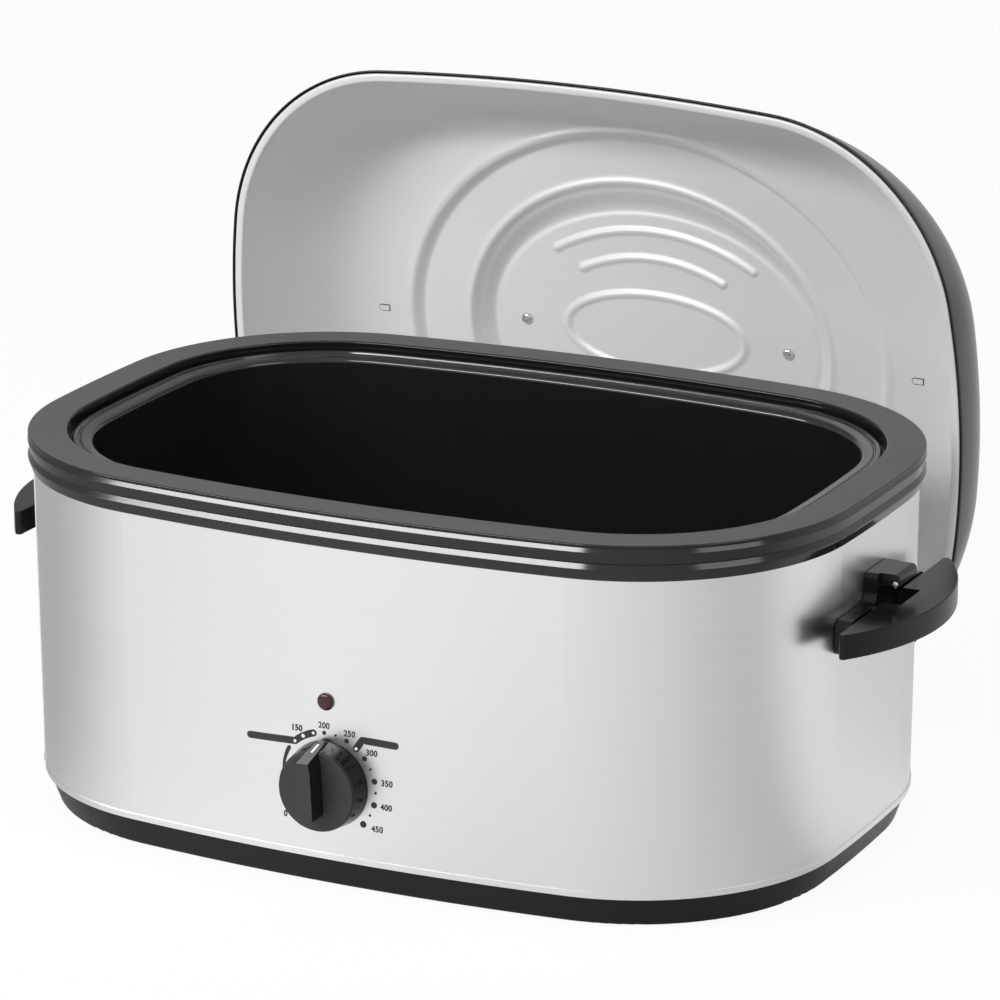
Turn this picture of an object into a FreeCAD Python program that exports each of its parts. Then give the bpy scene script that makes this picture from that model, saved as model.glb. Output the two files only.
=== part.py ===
import FreeCAD, Part
import Sketcher
import math
import os
import re

# Electric roaster oven: a long round-cornered body of sheet steel on a low base, with a removable
# enamelled pan, a turning thermostat knob on the front, and a domed lid that stands behind it.
# +Z is up, -Y is the front with the knob, +X is to the right. Lengths are in millimetres.
# The origin is on the counter, under the middle of the body.

# ---------------------------------------------------------------- driving sizes

SIZES = {
    # plan of the body: eight tangent arcs
    "half_length": 260, "half_depth": 182.5,
    "front_arc": 1270, "end_arc": 1300, "corner_arc": 131,
    # outer wall
    "wall_bottom": 19.5, "wall_sheet": 0.8, "wall_taper": 2.1,
    "hem_height": 3.5, "hem_proud": 0.6, "seam_angle": 24.3, "seam_step": 0.9,
    # base
    "ground_gap": 1, "skirt_foot_inset": 10, "skirt_top_inset": 3.3, "skirt_wall": 2.2,
    "skirt_lip": 7.5, "ledge_inset": 20, "ledge_thickness": 2.5,
    "plate_inset": 13, "plate_thickness": 1.2,
    "vent_length": 44, "vent_width": 4, "vent_pitch": 13, "vent_count": 5, "vent_start": 20,
    "foot_end_inset": 75, "foot_side_inset": 72.5, "foot_radius": 12, "foot_stem": 3.2, "foot_head": 5.5,
    "foot_head_height": 1.8, "hole_clearance": 0.2,
    "base_screw_x": 70, "base_screw_inset": 16.5, "base_screw_head": 2.8,
    "base_screw_head_height": 1.8, "base_screw_shank": 1.5, "base_screw_depth": 3,
    "post_end_inset": 110, "post_side_inset": 97.5, "post_radius": 7, "post_neck": 4.5,
    "shield_height": 34, "shield_inset": 34, "shield_thickness": 0.6,
    # collar on top
    "top_height": 232, "collar_skirt": 21.3, "collar_bulge": 3.7, "collar_foot": 2,
    "collar_sheet": 1.8, "collar_clearance": 0.25, "collar_round": 3.5, "collar_band": 24.2,
    "ledge_width": 7.5, "ledge_drop": 9.5, "ledge_sheet": 1.5,
    # heating well, its heater and its wrap
    "well_inset": 31, "well_sheet": 0.8, "well_floor": 48, "well_round": 12, "well_flange": 9,
    "heater_bottom": 70, "heater_height": 42, "heater_thickness": 1.5, "heater_gap": 0.1,
    "wool_bottom": 56, "wool_drop": 27, "wool_thickness": 12, "wool_gap": 0.4,
    "wool_window": 76, "wool_window_margin": 5,
    # roasting pan
    "pan_gap": 2.5, "pan_bead": 3, "pan_bead_height": 4.5, "pan_shoulder": 12.2,
    "pan_shoulder_drop": 1.4, "pan_wall": 1.2, "pan_floor": 60, "pan_draft": 13, "pan_round": 28,
    "pan_seat_gap": 0.1,
    # control: knob, shaft, thermostat and lamp
    "control_x": -5.4, "knob_height": 66, "knob_angle": 2.8, "knob_base": 26.2, "knob_face": 24, "knob_depth": 15,
    "knob_gap": 1, "knob_shell": 2, "knob_hub": 6, "shaft_radius": 3, "shaft_clearance": 0.05,
    "grip_width": 9.5, "grip_rise": 13.8, "grip_tail": 15.5, "grip_front": 21.5,
    "pointer_reach": 27.4, "pointer_width": 6, "pointer_foot": 4, "pointer_bottom": 2,
    "mark_width": 1.3, "mark_thickness": 0.2,
    "thermostat_width": 34, "thermostat_height": 26, "thermostat_depth": 20,
    "thermostat_bore": 12, "bracket_width": 48, "bracket_height": 36, "bracket_sheet": 1.2,
    "bracket_gap": 0.4, "shaft_reach": 12,
    "lamp_height": 116.6, "lens_radius": 5.2, "lens_rise": 3, "lens_stem": 4.3,
    "lens_stem_length": 6, "holder_radius": 6.5, "holder_length": 17, "neon_radius": 2.4,
    "neon_length": 12,
    # end handles
    "handle_top": 167.5, "handle_thickness": 15, "handle_stand": 10.5, "handle_half": 86,
    "handle_bulge": 31, "handle_round": 2.4, "handle_notch": 30, "handle_notch_depth": 11,
    "bar_stand": 7.8, "bar_half": 57, "bar_bottom": 145, "bar_round": 6,
    "lug_inner": 19, "lug_outer": 50, "lug_bottom": 153.5, "lug_top": 163,
    "post_half": 17, "arm_half": 13, "arm_stand": 20.4, "arm_top": 184.3, "arm_thickness": 7,
    "arm_round": 3, "mount_gap": 0.3,
    "handle_screw_y": 35, "handle_screw_height": 158, "handle_screw_head": 4,
    "handle_screw_head_height": 2.4, "handle_screw_shank": 2, "handle_screw_depth": 8,
    # mains inlet and terminal block
    "inlet_angle": 50, "inlet_height": 44, "bushing_flange": 11, "bushing_neck": 8,
    "bushing_bore": 4, "bushing_flange_thickness": 2.5, "bushing_length": 12,
    "block_length": 40, "block_width": 18, "block_height": 16, "block_side_inset": 56.5, "block_end_inset": 130,
    "lead_radius": 1.4, "lead_bend": 14, "lead_level": 13, "lead_start": 50, "lead_approach": 60,
    # lid, in its own frame: rim plane at zero, dome towards +Z
    "lid_half_length": 270.9, "lid_half_depth": 197.5,
    "lid_front_arc": 1937, "lid_end_arc": 532, "lid_corner_arc": 134,
    "lid_crown_height": 82, "lid_dome_power": 2.3, "lid_end_inset": 60, "lid_side_inset": 12,
    "lid_end_draft": 0.06, "lid_side_draft": 0.45,
    "cover_sheet": 1, "liner_gap": 2, "liner_sheet": 0.8,
    "rim_gap": 1.2, "rim_width": 5.5, "rim_below": 1.4, "rim_above": 0.8,
    "step_rise": 5.6, "step_run": 5, "plate_run": 15,
    "outer_step_length": 182, "outer_step_depth": 146, "middle_step_length": 139, "middle_step_depth": 111,
    "plate_length": 130, "plate_depth": 92,
    "lid_screw_x": 98.8, "lid_screw_head": 3.9, "lid_screw_head_height": 2.6,
    "lid_screw_shank": 2.2, "lid_screw_depth": 12, "washer_radius": 15, "washer_thickness": 2.4,
    "lid_grip_foot": 14, "lid_grip_top": 38, "lid_grip_clear": 23, "lid_grip_width": 26,
    "lid_grip_lean": 8, "lid_grip_round": 22, "lid_grip_edge": 4,
    # where the lid stands: its edge on the counter behind the body, open side to the front
    "lid_x": -44.6, "lid_y": 246.7, "lid_z": 197.3,
    "lid_tilt": 4.1, "lid_yaw": -4.6, "lid_roll": -0.7,
}

# places that follow the body's own sizes
TIED = {
    "handle_chord": "half_length + handle_stand",
    "bar_outer": "half_length + bar_stand",
    "arm_outer": "half_length + arm_stand",
    "wool_top": "top_height - wool_drop",
    "foot_x": "half_length - foot_end_inset", "foot_y": "half_depth - foot_side_inset",
    "post_x": "half_length - post_end_inset", "post_y": "half_depth - post_side_inset",
    "block_x": "half_length - block_end_inset", "block_y": "half_depth - block_side_inset",
}

doc = FreeCAD.newDocument("RoasterOven")
sheet = doc.addObject("Spreadsheet::Sheet", "Sizes")
for row, name in enumerate([*SIZES, *TIED], start=1):
    sheet.set("A%d" % row, name)
    sheet.set("B%d" % row, str(SIZES[name]) if name in SIZES else "=" + TIED[name])
    sheet.setAlias("B%d" % row, name)
doc.recompute()

NODES = []


def bound(text):
    """An expression on the sheet's names, as the document reads it."""
    return re.sub(r"[a-z_]+", lambda m: "Sizes." + m.group(0) if m.group(0) in SIZES or m.group(0) in TIED else m.group(0), text)


def size(text):
    """The present value of an expression on the sheet's names."""
    return float(sheet.evalExpression(bound(text)))


def keep(item, label):
    """Name a finished sub-part, so that it is written out."""
    item.Label = label
    NODES.append(item)
    return item


# ---------------------------------------------------------------- sketches

def origin_plane(body, role):
    return next(f for f in body.Origin.OriginFeatures if f.Role == role)


def new_sketch(body, name, role, lift="0"):
    sketch = body.newObject("Sketcher::SketchObject", name)
    sketch.AttachmentSupport = [(origin_plane(body, role), "")]
    sketch.MapMode = "FlatFace"
    sketch.setExpression("AttachmentOffset.Base.z", bound(lift))
    return sketch


def dimension(sketch, kind, where, text):
    """A sketch dimension that follows an expression on the sheet."""
    number = sketch.addConstraint(Sketcher.Constraint(kind, *where, size(text)))
    sketch.setExpression("Constraints[%d]" % number, bound(text))


def pin_point(sketch, geometry, point, across, up):
    dimension(sketch, "DistanceX", (-1, 1, geometry, point), across)
    dimension(sketch, "DistanceY", (-1, 1, geometry, point), up)


BODY_PLAN = ("half_length", "half_depth", "front_arc", "end_arc", "corner_arc")
LID_PLAN = ("lid_half_length", "lid_half_depth", "lid_front_arc", "lid_end_arc", "lid_corner_arc")


def corner_centre(plan):
    """The middle of the front right corner arc, which is tangent to the front arc and the end arc."""
    length, depth, front, end, corner = (size(term) for term in plan)
    front_y, end_x = depth - front, length - end
    span = math.hypot(front_y, end_x)
    reach_front, reach_end = front - corner, end - corner
    along = (reach_front ** 2 - reach_end ** 2 + span ** 2) / (2 * span)
    across = math.sqrt(reach_front ** 2 - along ** 2)
    unit_x, unit_y = end_x / span, -front_y / span
    corner_x = along * unit_x + across * unit_y
    corner_y = front_y + along * unit_y - across * unit_x
    if corner_x + corner_y < 0:
        corner_x = along * unit_x - across * unit_y
        corner_y = front_y + along * unit_y + across * unit_x
    return corner_x, corner_y


def plan_sketch(body, name, plan=BODY_PLAN, grow="0", lift="0"):
    """A closed plan of eight tangent arcs, grown outwards by an expression."""
    sketch = new_sketch(body, name, "XY_Plane", lift)
    extra = size(grow)
    corner_x, corner_y = corner_centre(plan)
    front_y = size("(%s) - (%s)" % (plan[1], plan[2]))
    end_x = size("(%s) - (%s)" % (plan[0], plan[3]))
    low = math.atan2(corner_y, corner_x - end_x)
    high = math.atan2(corner_y - front_y, corner_x)
    turn = math.pi
    arcs = [
        (end_x, 0, plan[3], -low, low),
        (corner_x, corner_y, plan[4], low, high),
        (0, front_y, plan[2], high, turn - high),
        (-corner_x, corner_y, plan[4], turn - high, turn - low),
        (-end_x, 0, plan[3], turn - low, turn + low),
        (-corner_x, -corner_y, plan[4], turn + low, turn + high),
        (0, -front_y, plan[2], turn + high, 2 * turn - high),
        (corner_x, -corner_y, plan[4], 2 * turn - high, 2 * turn - low),
    ]
    for x, y, radius, start, stop in arcs:
        circle = Part.Circle(FreeCAD.Vector(x, y, 0), FreeCAD.Vector(0, 0, 1), size(radius) + extra)
        sketch.addGeometry(Part.ArcOfCircle(circle, start, stop), False)
    for index in range(8):
        sketch.addConstraint(Sketcher.Constraint("Tangent", index, 2, (index + 1) % 8, 1))
    for index, (x, y, radius, start, stop) in enumerate(arcs):
        dimension(sketch, "Radius", (index,), "%s + (%s)" % (radius, grow))
    inner_x = "(%s) - (%s)" % (plan[0], plan[3])
    inner_y = "(%s) - (%s)" % (plan[1], plan[2])
    pin_point(sketch, 0, 3, inner_x, "0")
    pin_point(sketch, 2, 3, "0", inner_y)
    pin_point(sketch, 4, 3, "-(%s)" % inner_x, "0")
    pin_point(sketch, 6, 3, "0", "-(%s)" % inner_y)
    return sketch


def outline_sketch(body, name, role, corners, lift="0"):
    """A closed outline. Each corner is (across, up) or (across, up, radius), as expressions."""
    sketch = new_sketch(body, name, role, lift)
    points = [FreeCAD.Vector(size(c[0]), size(c[1]), 0) for c in corners]
    count = len(corners)
    starts, ends, arcs = [], [], []
    for index, corner in enumerate(corners):
        here, before, after = points[index], points[index - 1], points[(index + 1) % count]
        if len(corner) == 2:
            starts.append(here)
            ends.append(here)
            arcs.append(None)
            continue
        back = (before - here).normalize()
        ahead = (after - here).normalize()
        half = back.getAngle(ahead) / 2
        radius = size(corner[2])
        cut = radius / math.tan(half)
        middle = here + (back + ahead).normalize() * (radius / math.sin(half) - radius)
        ends.append(here + back * cut)
        starts.append(here + ahead * cut)
        arcs.append(Part.Arc(here + back * cut, middle, here + ahead * cut))
    lines = []
    for index in range(count):
        line = Part.LineSegment(starts[index], ends[(index + 1) % count])
        lines.append(sketch.addGeometry(line, False))
    for index, corner in enumerate(corners):
        incoming, outgoing = lines[index - 1], lines[index]
        if arcs[index] is None:
            sketch.addConstraint(Sketcher.Constraint("Coincident", incoming, 2, outgoing, 1))
            pin_point(sketch, outgoing, 1, corner[0], corner[1])
            continue
        arc = sketch.addGeometry(arcs[index], False)
        forward = sketch.getPoint(arc, 1).distanceToPoint(ends[index]) < 1e-6
        first, last = (1, 2) if forward else (2, 1)
        sketch.addConstraint(Sketcher.Constraint("Tangent", incoming, 2, arc, first))
        sketch.addConstraint(Sketcher.Constraint("Tangent", arc, last, outgoing, 1))
        dimension(sketch, "Radius", (arc,), corner[2])
        apex = sketch.addGeometry(Part.Point(points[index]), True)
        pin_point(sketch, apex, 1, corner[0], corner[1])
        sketch.addConstraint(Sketcher.Constraint("PointOnObject", apex, 1, incoming))
        sketch.addConstraint(Sketcher.Constraint("PointOnObject", apex, 1, outgoing))
    return sketch


def circle_sketch(body, name, role, circles, lift="0"):
    """Circles, each (across, up, radius) as expressions."""
    sketch = new_sketch(body, name, role, lift)
    for index, (across, up, radius) in enumerate(circles):
        centre = FreeCAD.Vector(size(across), size(up), 0)
        sketch.addGeometry(Part.Circle(centre, FreeCAD.Vector(0, 0, 1), size(radius)), False)
        pin_point(sketch, index, 3, across, up)
        dimension(sketch, "Radius", (index,), radius)
    return sketch


def ellipse_sketch(body, name, half_length, half_depth, lift):
    """An ellipse about the origin, longest along X."""
    sketch = new_sketch(body, name, "XY_Plane", lift)
    centre = FreeCAD.Vector(0, 0, 0)
    tip = FreeCAD.Vector(size(half_length), 0, 0)
    side = FreeCAD.Vector(0, size(half_depth), 0)
    sketch.addGeometry(Part.Ellipse(tip, side, centre), False)
    sketch.exposeInternalGeometry(0)
    sketch.addConstraint(Sketcher.Constraint("Coincident", 0, 3, -1, 1))
    pin_point(sketch, 1, 1, half_length, "0") if sketch.getPoint(1, 1).x > 0 else pin_point(
        sketch, 1, 2, half_length, "0")
    dimension(sketch, "DistanceY", (2, 2, 2, 1) if sketch.getPoint(2, 1).y > 0 else (2, 1, 2, 2),
              "2 * (%s)" % half_depth)
    return sketch


# ---------------------------------------------------------------- features

def new_body(name):
    return doc.addObject("PartDesign::Body", name)


def pad(body, sketch, length, name, both_ways=False, reverse=False):
    feature = body.newObject("PartDesign::Pad", name)
    feature.Profile = sketch
    feature.setExpression("Length", bound(length))
    feature.Midplane = both_ways
    feature.Reversed = reverse
    return feature


def pocket(body, sketch, length, name, both_ways=False, reverse=False):
    feature = body.newObject("PartDesign::Pocket", name)
    feature.Profile = sketch
    feature.setExpression("Length", bound(length))
    feature.Midplane = both_ways
    feature.Reversed = reverse
    return feature


def turn(body, sketch, name, cut=False):
    """Revolve a sketch of the XZ plane about the body's own Z axis."""
    feature = body.newObject("PartDesign::Groove" if cut else "PartDesign::Revolution", name)
    feature.Profile = sketch
    feature.ReferenceAxis = (sketch, ["V_Axis"])
    feature.Angle = 360
    return feature


def loft(body, sketches, name, cut=False, straight=False):
    feature = body.newObject("PartDesign::SubtractiveLoft" if cut else "PartDesign::AdditiveLoft", name)
    feature.Profile = sketches[0]
    feature.Sections = sketches[1:]
    feature.Ruled = straight
    return feature


def ring_around(body, corners, name, plan=BODY_PLAN):
    """Carry a wall section, drawn at the right-hand end, all round the plan."""
    path = plan_sketch(body, name + "_path", plan)
    section = outline_sketch(body, name + "_section", "XZ_Plane", corners)
    feature = body.newObject("PartDesign::AdditivePipe", name)
    feature.Profile = section
    feature.Spine = (path, [])
    return feature


def side_half(body, keep_front, name):
    """Cut the wall along the upright plane through its two seams."""
    sketch = new_sketch(body, name + "_line", "XY_Plane")
    sketch.AttachmentOffset = FreeCAD.Placement(
        FreeCAD.Vector(), FreeCAD.Rotation(FreeCAD.Vector(0, 0, 1), size("seam_angle")))
    far = size("half_length + half_depth")
    near, deep = (0, far) if keep_front else (-far, 0)
    corners = [(-far, near), (far, near), (far, deep), (-far, deep)]
    for index, (x, y) in enumerate(corners):
        next_x, next_y = corners[(index + 1) % 4]
        sketch.addGeometry(Part.LineSegment(FreeCAD.Vector(x, y, 0), FreeCAD.Vector(next_x, next_y, 0)), False)
    feature = pocket(body, sketch, "2 * top_height", name, both_ways=True)
    return feature


def group(label, shapes):
    """Several like solids that share one node."""
    compound = doc.addObject("Part::Compound", label + "_group")
    compound.Links = shapes
    return keep(compound, label)


def cylinder(name, radius, height, x, y, z):
    item = doc.addObject("Part::Cylinder", name)
    item.setExpression("Radius", bound(radius))
    item.setExpression("Height", bound(height))
    item.setExpression("Placement.Base.x", bound(x))
    item.setExpression("Placement.Base.y", bound(y))
    item.setExpression("Placement.Base.z", bound(z))
    return item


def fuse(name, shapes):
    item = doc.addObject("Part::MultiFuse", name)
    item.Shapes = shapes
    return item


def face_forward(body, height, angle="0"):
    """Stand a turned body on the front wall: its own Z axis points to the front."""
    turned = FreeCAD.Rotation(FreeCAD.Vector(0, 0, 1), size(angle))
    body.Placement = FreeCAD.Placement(
        FreeCAD.Vector(), FreeCAD.Rotation(FreeCAD.Vector(1, 0, 0), 90).multiply(turned))
    body.setExpression("Placement.Base.x", bound("control_x"))
    body.setExpression("Placement.Base.y", bound("-(%s)" % wall_face(height)))
    body.setExpression("Placement.Base.z", bound(height))


WALL_TOP = "(top_height - collar_sheet)"


def wall_face(height):
    """How far the front wall's outer face stands from the middle at a height."""
    return "half_depth - wall_taper * (%s - %s) / (%s - wall_bottom)" % (WALL_TOP, height, WALL_TOP)




def inlet_place():
    """The inlet's seat on the rear right corner: its own Z points out of the wall."""
    reach = size("corner_arc + %s + seam_step - half_depth" % wall_face("inlet_height"))
    middle_x, middle_y = corner_centre(BODY_PLAN)
    outwards = FreeCAD.Rotation(FreeCAD.Vector(0, 0, 1), size("inlet_angle"))
    seat = FreeCAD.Vector(middle_x, middle_y, size("inlet_height")) + outwards.multVec(FreeCAD.Vector(reach, 0, 0))
    return FreeCAD.Placement(seat, outwards.multiply(FreeCAD.Rotation(FreeCAD.Vector(0, 1, 0), 90)))

QUADRANTS = [(1, 1), (-1, 1), (-1, -1), (1, -1)]


# ---------------------------------------------------------------- base

def make_base_skirt():
    body = new_body("base_skirt")
    ledge_top = "ground_gap + ledge_thickness"
    ring_around(body, [
        ("half_length - ledge_inset", "ground_gap"),
        ("half_length - skirt_foot_inset", "ground_gap", "skirt_wall"),
        ("half_length - skirt_top_inset", "wall_bottom"),
        ("half_length - skirt_top_inset", "wall_bottom + skirt_lip"),
        ("half_length - skirt_top_inset - skirt_wall", "wall_bottom + skirt_lip"),
        ("half_length - skirt_top_inset - skirt_wall", "wall_bottom + 1"),
        ("half_length - skirt_foot_inset - skirt_wall", ledge_top),
        ("half_length - ledge_inset", ledge_top),
    ], "skirt")
    holes = circle_sketch(body, "screw_holes", "XY_Plane", [
        ("%d * base_screw_x" % sx, "%d * (half_depth - base_screw_inset)" % sy, "base_screw_shank")
        for sx, sy in QUADRANTS], "ground_gap + ledge_thickness")
    pocket(body, holes, "ledge_thickness + 1", "screw_hole_cut")
    keep(body, "base_skirt")


def make_base_plate():
    body = new_body("base_plate")
    seat = "ground_gap + ledge_thickness"
    plan = plan_sketch(body, "plate_plan", grow="-plate_inset", lift=seat)
    pad(body, plan, "plate_thickness", "plate")
    feet = [("%d * foot_x" % sx, "%d * foot_y" % sy, "foot_stem + hole_clearance") for sx, sy in QUADRANTS]
    screws = [("%d * base_screw_x" % sx, "%d * (half_depth - base_screw_inset)" % sy,
               "base_screw_shank + hole_clearance") for sx, sy in QUADRANTS]
    holes = circle_sketch(body, "plate_holes", "XY_Plane", feet + screws, seat + " + plate_thickness")
    pocket(body, holes, "plate_thickness", "plate_hole_cut")
    for side in (-1, 1):
        slot = outline_sketch(body, "vent_%s" % ("front" if side < 0 else "back"), "XY_Plane", [
            ("-vent_length / 2", "%d * vent_start - vent_width / 2" % side),
            ("vent_length / 2", "%d * vent_start - vent_width / 2" % side),
            ("vent_length / 2", "%d * vent_start + vent_width / 2" % side),
            ("-vent_length / 2", "%d * vent_start + vent_width / 2" % side),
        ], seat + " + plate_thickness")
        cut = pocket(body, slot, "plate_thickness", "vent_cut_%d" % (side + 1))
        doc.recompute()
        row = body.newObject("PartDesign::LinearPattern", "vent_row_%d" % (side + 1))
        row.Originals = [cut]
        row.Direction = (slot, ["V_Axis"])
        row.Reversed = side < 0
        row.setExpression("Length", bound("vent_pitch * (vent_count - 1)"))
        row.setExpression("Occurrences", bound("vent_count"))
        body.Tip = row
    keep(body, "base_plate")


def make_rubber_feet():
    seat = "ground_gap + ledge_thickness"
    feet = []
    for index, (sx, sy) in enumerate(QUADRANTS):
        x, y = "%d * foot_x" % sx, "%d * foot_y" % sy
        pad_part = cylinder("foot_pad_%d" % index, "foot_radius", seat, x, y, "0")
        stem = cylinder("foot_stem_%d" % index, "foot_stem", "plate_thickness", x, y, seat)
        head = cylinder("foot_head_%d" % index, "foot_head", "foot_head_height", x, y,
                        seat + " + plate_thickness")
        feet.append(fuse("foot_%d" % index, [pad_part, stem, head]))
    group("rubber_feet", feet)


def make_base_screws():
    seat = "ground_gap + ledge_thickness + plate_thickness"
    screws = []
    for index, (sx, sy) in enumerate(QUADRANTS):
        x, y = "%d * base_screw_x" % sx, "%d * (half_depth - base_screw_inset)" % sy
        head = cylinder("base_screw_head_%d" % index, "base_screw_head", "base_screw_head_height", x, y, seat)
        shank = cylinder("base_screw_shank_%d" % index, "base_screw_shank", "base_screw_depth", x, y,
                         seat + " - base_screw_depth")
        screws.append(fuse("base_screw_%d" % index, [head, shank]))
    group("base_screws", screws)


def make_support_posts():
    floor = "ground_gap + ledge_thickness + plate_thickness"
    posts = []
    for index, (sx, sy) in enumerate(QUADRANTS):
        x, y = "%d * post_x" % sx, "%d * post_y" % sy
        lower = cylinder("post_lower_%d" % index, "post_radius", "shield_height - (%s)" % floor, x, y, floor)
        upper = cylinder("post_upper_%d" % index, "post_neck", "well_floor - shield_height", x, y, "shield_height")
        posts.append(fuse("post_%d" % index, [lower, upper]))
    group("support_posts", posts)


def make_bottom_shield():
    body = new_body("bottom_shield")
    plan = plan_sketch(body, "shield_plan", grow="-shield_inset", lift="shield_height")
    pad(body, plan, "shield_thickness", "shield")
    holes = circle_sketch(body, "post_holes", "XY_Plane", [
        ("%d * post_x" % sx, "%d * post_y" % sy, "post_neck + hole_clearance") for sx, sy in QUADRANTS],
        "shield_height + shield_thickness")
    pocket(body, holes, "shield_thickness", "post_hole_cut")
    keep(body, "bottom_shield")


# ---------------------------------------------------------------- outer wall and collar

def wall_section(shift):
    outer = "half_length + %s" % shift
    foot = "%s - wall_taper" % outer
    return [
        ("%s - wall_sheet" % foot, "wall_bottom"),
        ("%s + hem_proud" % foot, "wall_bottom"),
        ("%s + hem_proud" % foot, "wall_bottom + hem_height"),
        (foot, "wall_bottom + hem_height"),
        (outer, WALL_TOP),
        ("%s - wall_sheet" % outer, WALL_TOP),
    ]


def handle_screw_holes(body, side, name):
    sketch = circle_sketch(body, name + "_circles", "YZ_Plane", [
        ("%d * handle_screw_y" % s, "handle_screw_height", "handle_screw_shank + hole_clearance")
        for s in (-1, 1)], "%d * half_length" % side)
    pocket(body, sketch, "wall_taper * 6", name, both_ways=True)


def make_front_wrap():
    body = new_body("front_wrap")
    ring_around(body, wall_section("0"), "front_sheet")
    side_half(body, True, "front_seam_cut")
    holes = circle_sketch(body, "control_holes", "XZ_Plane", [
        ("control_x", "knob_height", "shaft_radius + 2"),
        ("control_x", "lamp_height", "lens_stem + hole_clearance"),
    ], "half_depth")
    pocket(body, holes, "wall_taper * 6", "control_hole_cut", both_ways=True)
    handle_screw_holes(body, 1, "handle_hole_cut")
    keep(body, "front_wrap")


def make_rear_wrap():
    body = new_body("rear_wrap")
    ring_around(body, wall_section("seam_step"), "rear_sheet")
    side_half(body, False, "rear_seam_cut")
    hole = circle_sketch(body, "inlet_hole", "XY_Plane", [("0", "0", "bushing_neck + hole_clearance")], "inlet_height")
    hole.AttachmentOffset = inlet_place()
    pocket(body, hole, "bushing_length", "inlet_hole_cut", both_ways=True)
    handle_screw_holes(body, -1, "handle_hole_cut")
    keep(body, "rear_wrap")


def make_collar_ring():
    body = new_body("collar_ring")
    foot = "top_height - collar_skirt"
    inner = "half_length + collar_bulge - collar_band"
    ledge = "%s - ledge_width" % inner
    shelf = "top_height - ledge_drop"
    inside = "half_length + seam_step + collar_clearance"
    ring_around(body, [
        (inside, foot),
        ("half_length + collar_foot", foot),
        ("half_length + collar_bulge", foot + " + 7", "8"),
        ("half_length + collar_bulge", "top_height", "collar_round"),
        (inner, "top_height", "1.2"),
        (inner, shelf),
        (ledge, shelf),
        (ledge, shelf + " - ledge_sheet"),
        (inner + " + collar_sheet", shelf + " - ledge_sheet"),
        (inner + " + collar_sheet", WALL_TOP),
        ("half_length + collar_bulge - collar_sheet", WALL_TOP),
        ("half_length + collar_bulge - collar_sheet", foot + " + 8"),
    ], "collar")
    keep(body, "collar_ring")


# ---------------------------------------------------------------- heating well

FLANGE_TOP = "(top_height - ledge_drop - ledge_sheet)"


def make_heating_well():
    body = new_body("heating_well")
    inner = "half_length - well_inset"
    middle = inner + " - 2 * well_round"
    ring_around(body, [
        (inner + " + well_flange", FLANGE_TOP),
        (inner, FLANGE_TOP, "2"),
        (inner, "well_floor + well_sheet", "well_round"),
        (middle, "well_floor + well_sheet"),
        (middle, "well_floor"),
        (inner + " + well_sheet", "well_floor", "well_round + well_sheet"),
        (inner + " + well_sheet", FLANGE_TOP + " - well_sheet"),
        (inner + " + well_flange", FLANGE_TOP + " - well_sheet"),
    ], "well_wall")
    floor = plan_sketch(body, "well_floor_plan", grow="-well_inset - 2 * well_round", lift="well_floor")
    pad(body, floor, "well_sheet", "well_floor_plate")
    keep(body, "heating_well")


def make_heater_band():
    body = new_body("heater_band")
    inner = "half_length - well_inset + well_sheet + heater_gap"
    ring_around(body, [
        (inner, "heater_bottom"),
        (inner + " + heater_thickness", "heater_bottom"),
        (inner + " + heater_thickness", "heater_bottom + heater_height"),
        (inner, "heater_bottom + heater_height"),
    ], "band")
    keep(body, "heater_band")


def make_insulation_wrap():
    body = new_body("insulation_wrap")
    inner = "half_length - well_inset + well_sheet + heater_gap + heater_thickness + wool_gap"
    ring_around(body, [
        (inner, "wool_bottom"),
        (inner + " + wool_thickness", "wool_bottom"),
        (inner + " + wool_thickness", "wool_top"),
        (inner, "wool_top"),
    ], "wool")
    window = outline_sketch(body, "control_window", "XZ_Plane", [
        ("control_x - wool_window / 2", "wool_bottom - 1"),
        ("control_x + wool_window / 2", "wool_bottom - 1"),
        ("control_x + wool_window / 2", "lamp_height + holder_radius + wool_window_margin"),
        ("control_x - wool_window / 2", "lamp_height + holder_radius + wool_window_margin"),
    ], "half_depth")
    pocket(body, window, "4 * (well_inset)", "control_window_cut", both_ways=True)
    keep(body, "insulation_wrap")


# ---------------------------------------------------------------- roasting pan

def make_roasting_pan():
    body = new_body("roasting_pan")
    shelf = "top_height - ledge_drop"
    outer = "half_length + collar_bulge - collar_band - pan_gap"
    seat = shelf + " + pan_seat_gap"
    top = shelf + " + pan_bead_height"
    lip = outer + " - pan_shoulder"
    lip_height = top + " - pan_shoulder_drop"
    foot = lip + " - pan_draft"
    middle = foot + " - pan_round - 12"
    ring_around(body, [
        (outer, seat, "0.8"),
        (outer, top, "1.6"),
        (lip, lip_height, "1.8"),
        (foot, "pan_floor + pan_wall", "pan_round"),
        (middle, "pan_floor + pan_wall"),
        (middle, "pan_floor"),
        (foot + " + pan_wall", "pan_floor", "pan_round + pan_wall"),
        (lip + " + pan_wall", lip_height + " - pan_wall", "0.6"),
        (outer + " - pan_bead", top + " - pan_wall - 0.4"),
        (outer + " - pan_bead", seat),
    ], "pan_wall_ring")
    floor = plan_sketch(
        body, "pan_floor_plan", lift="pan_floor",
        grow="collar_bulge - collar_band - pan_gap - pan_shoulder - pan_draft - pan_round - 12")
    pad(body, floor, "pan_wall", "pan_floor_plate")
    keep(body, "roasting_pan")


# ---------------------------------------------------------------- control

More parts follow.
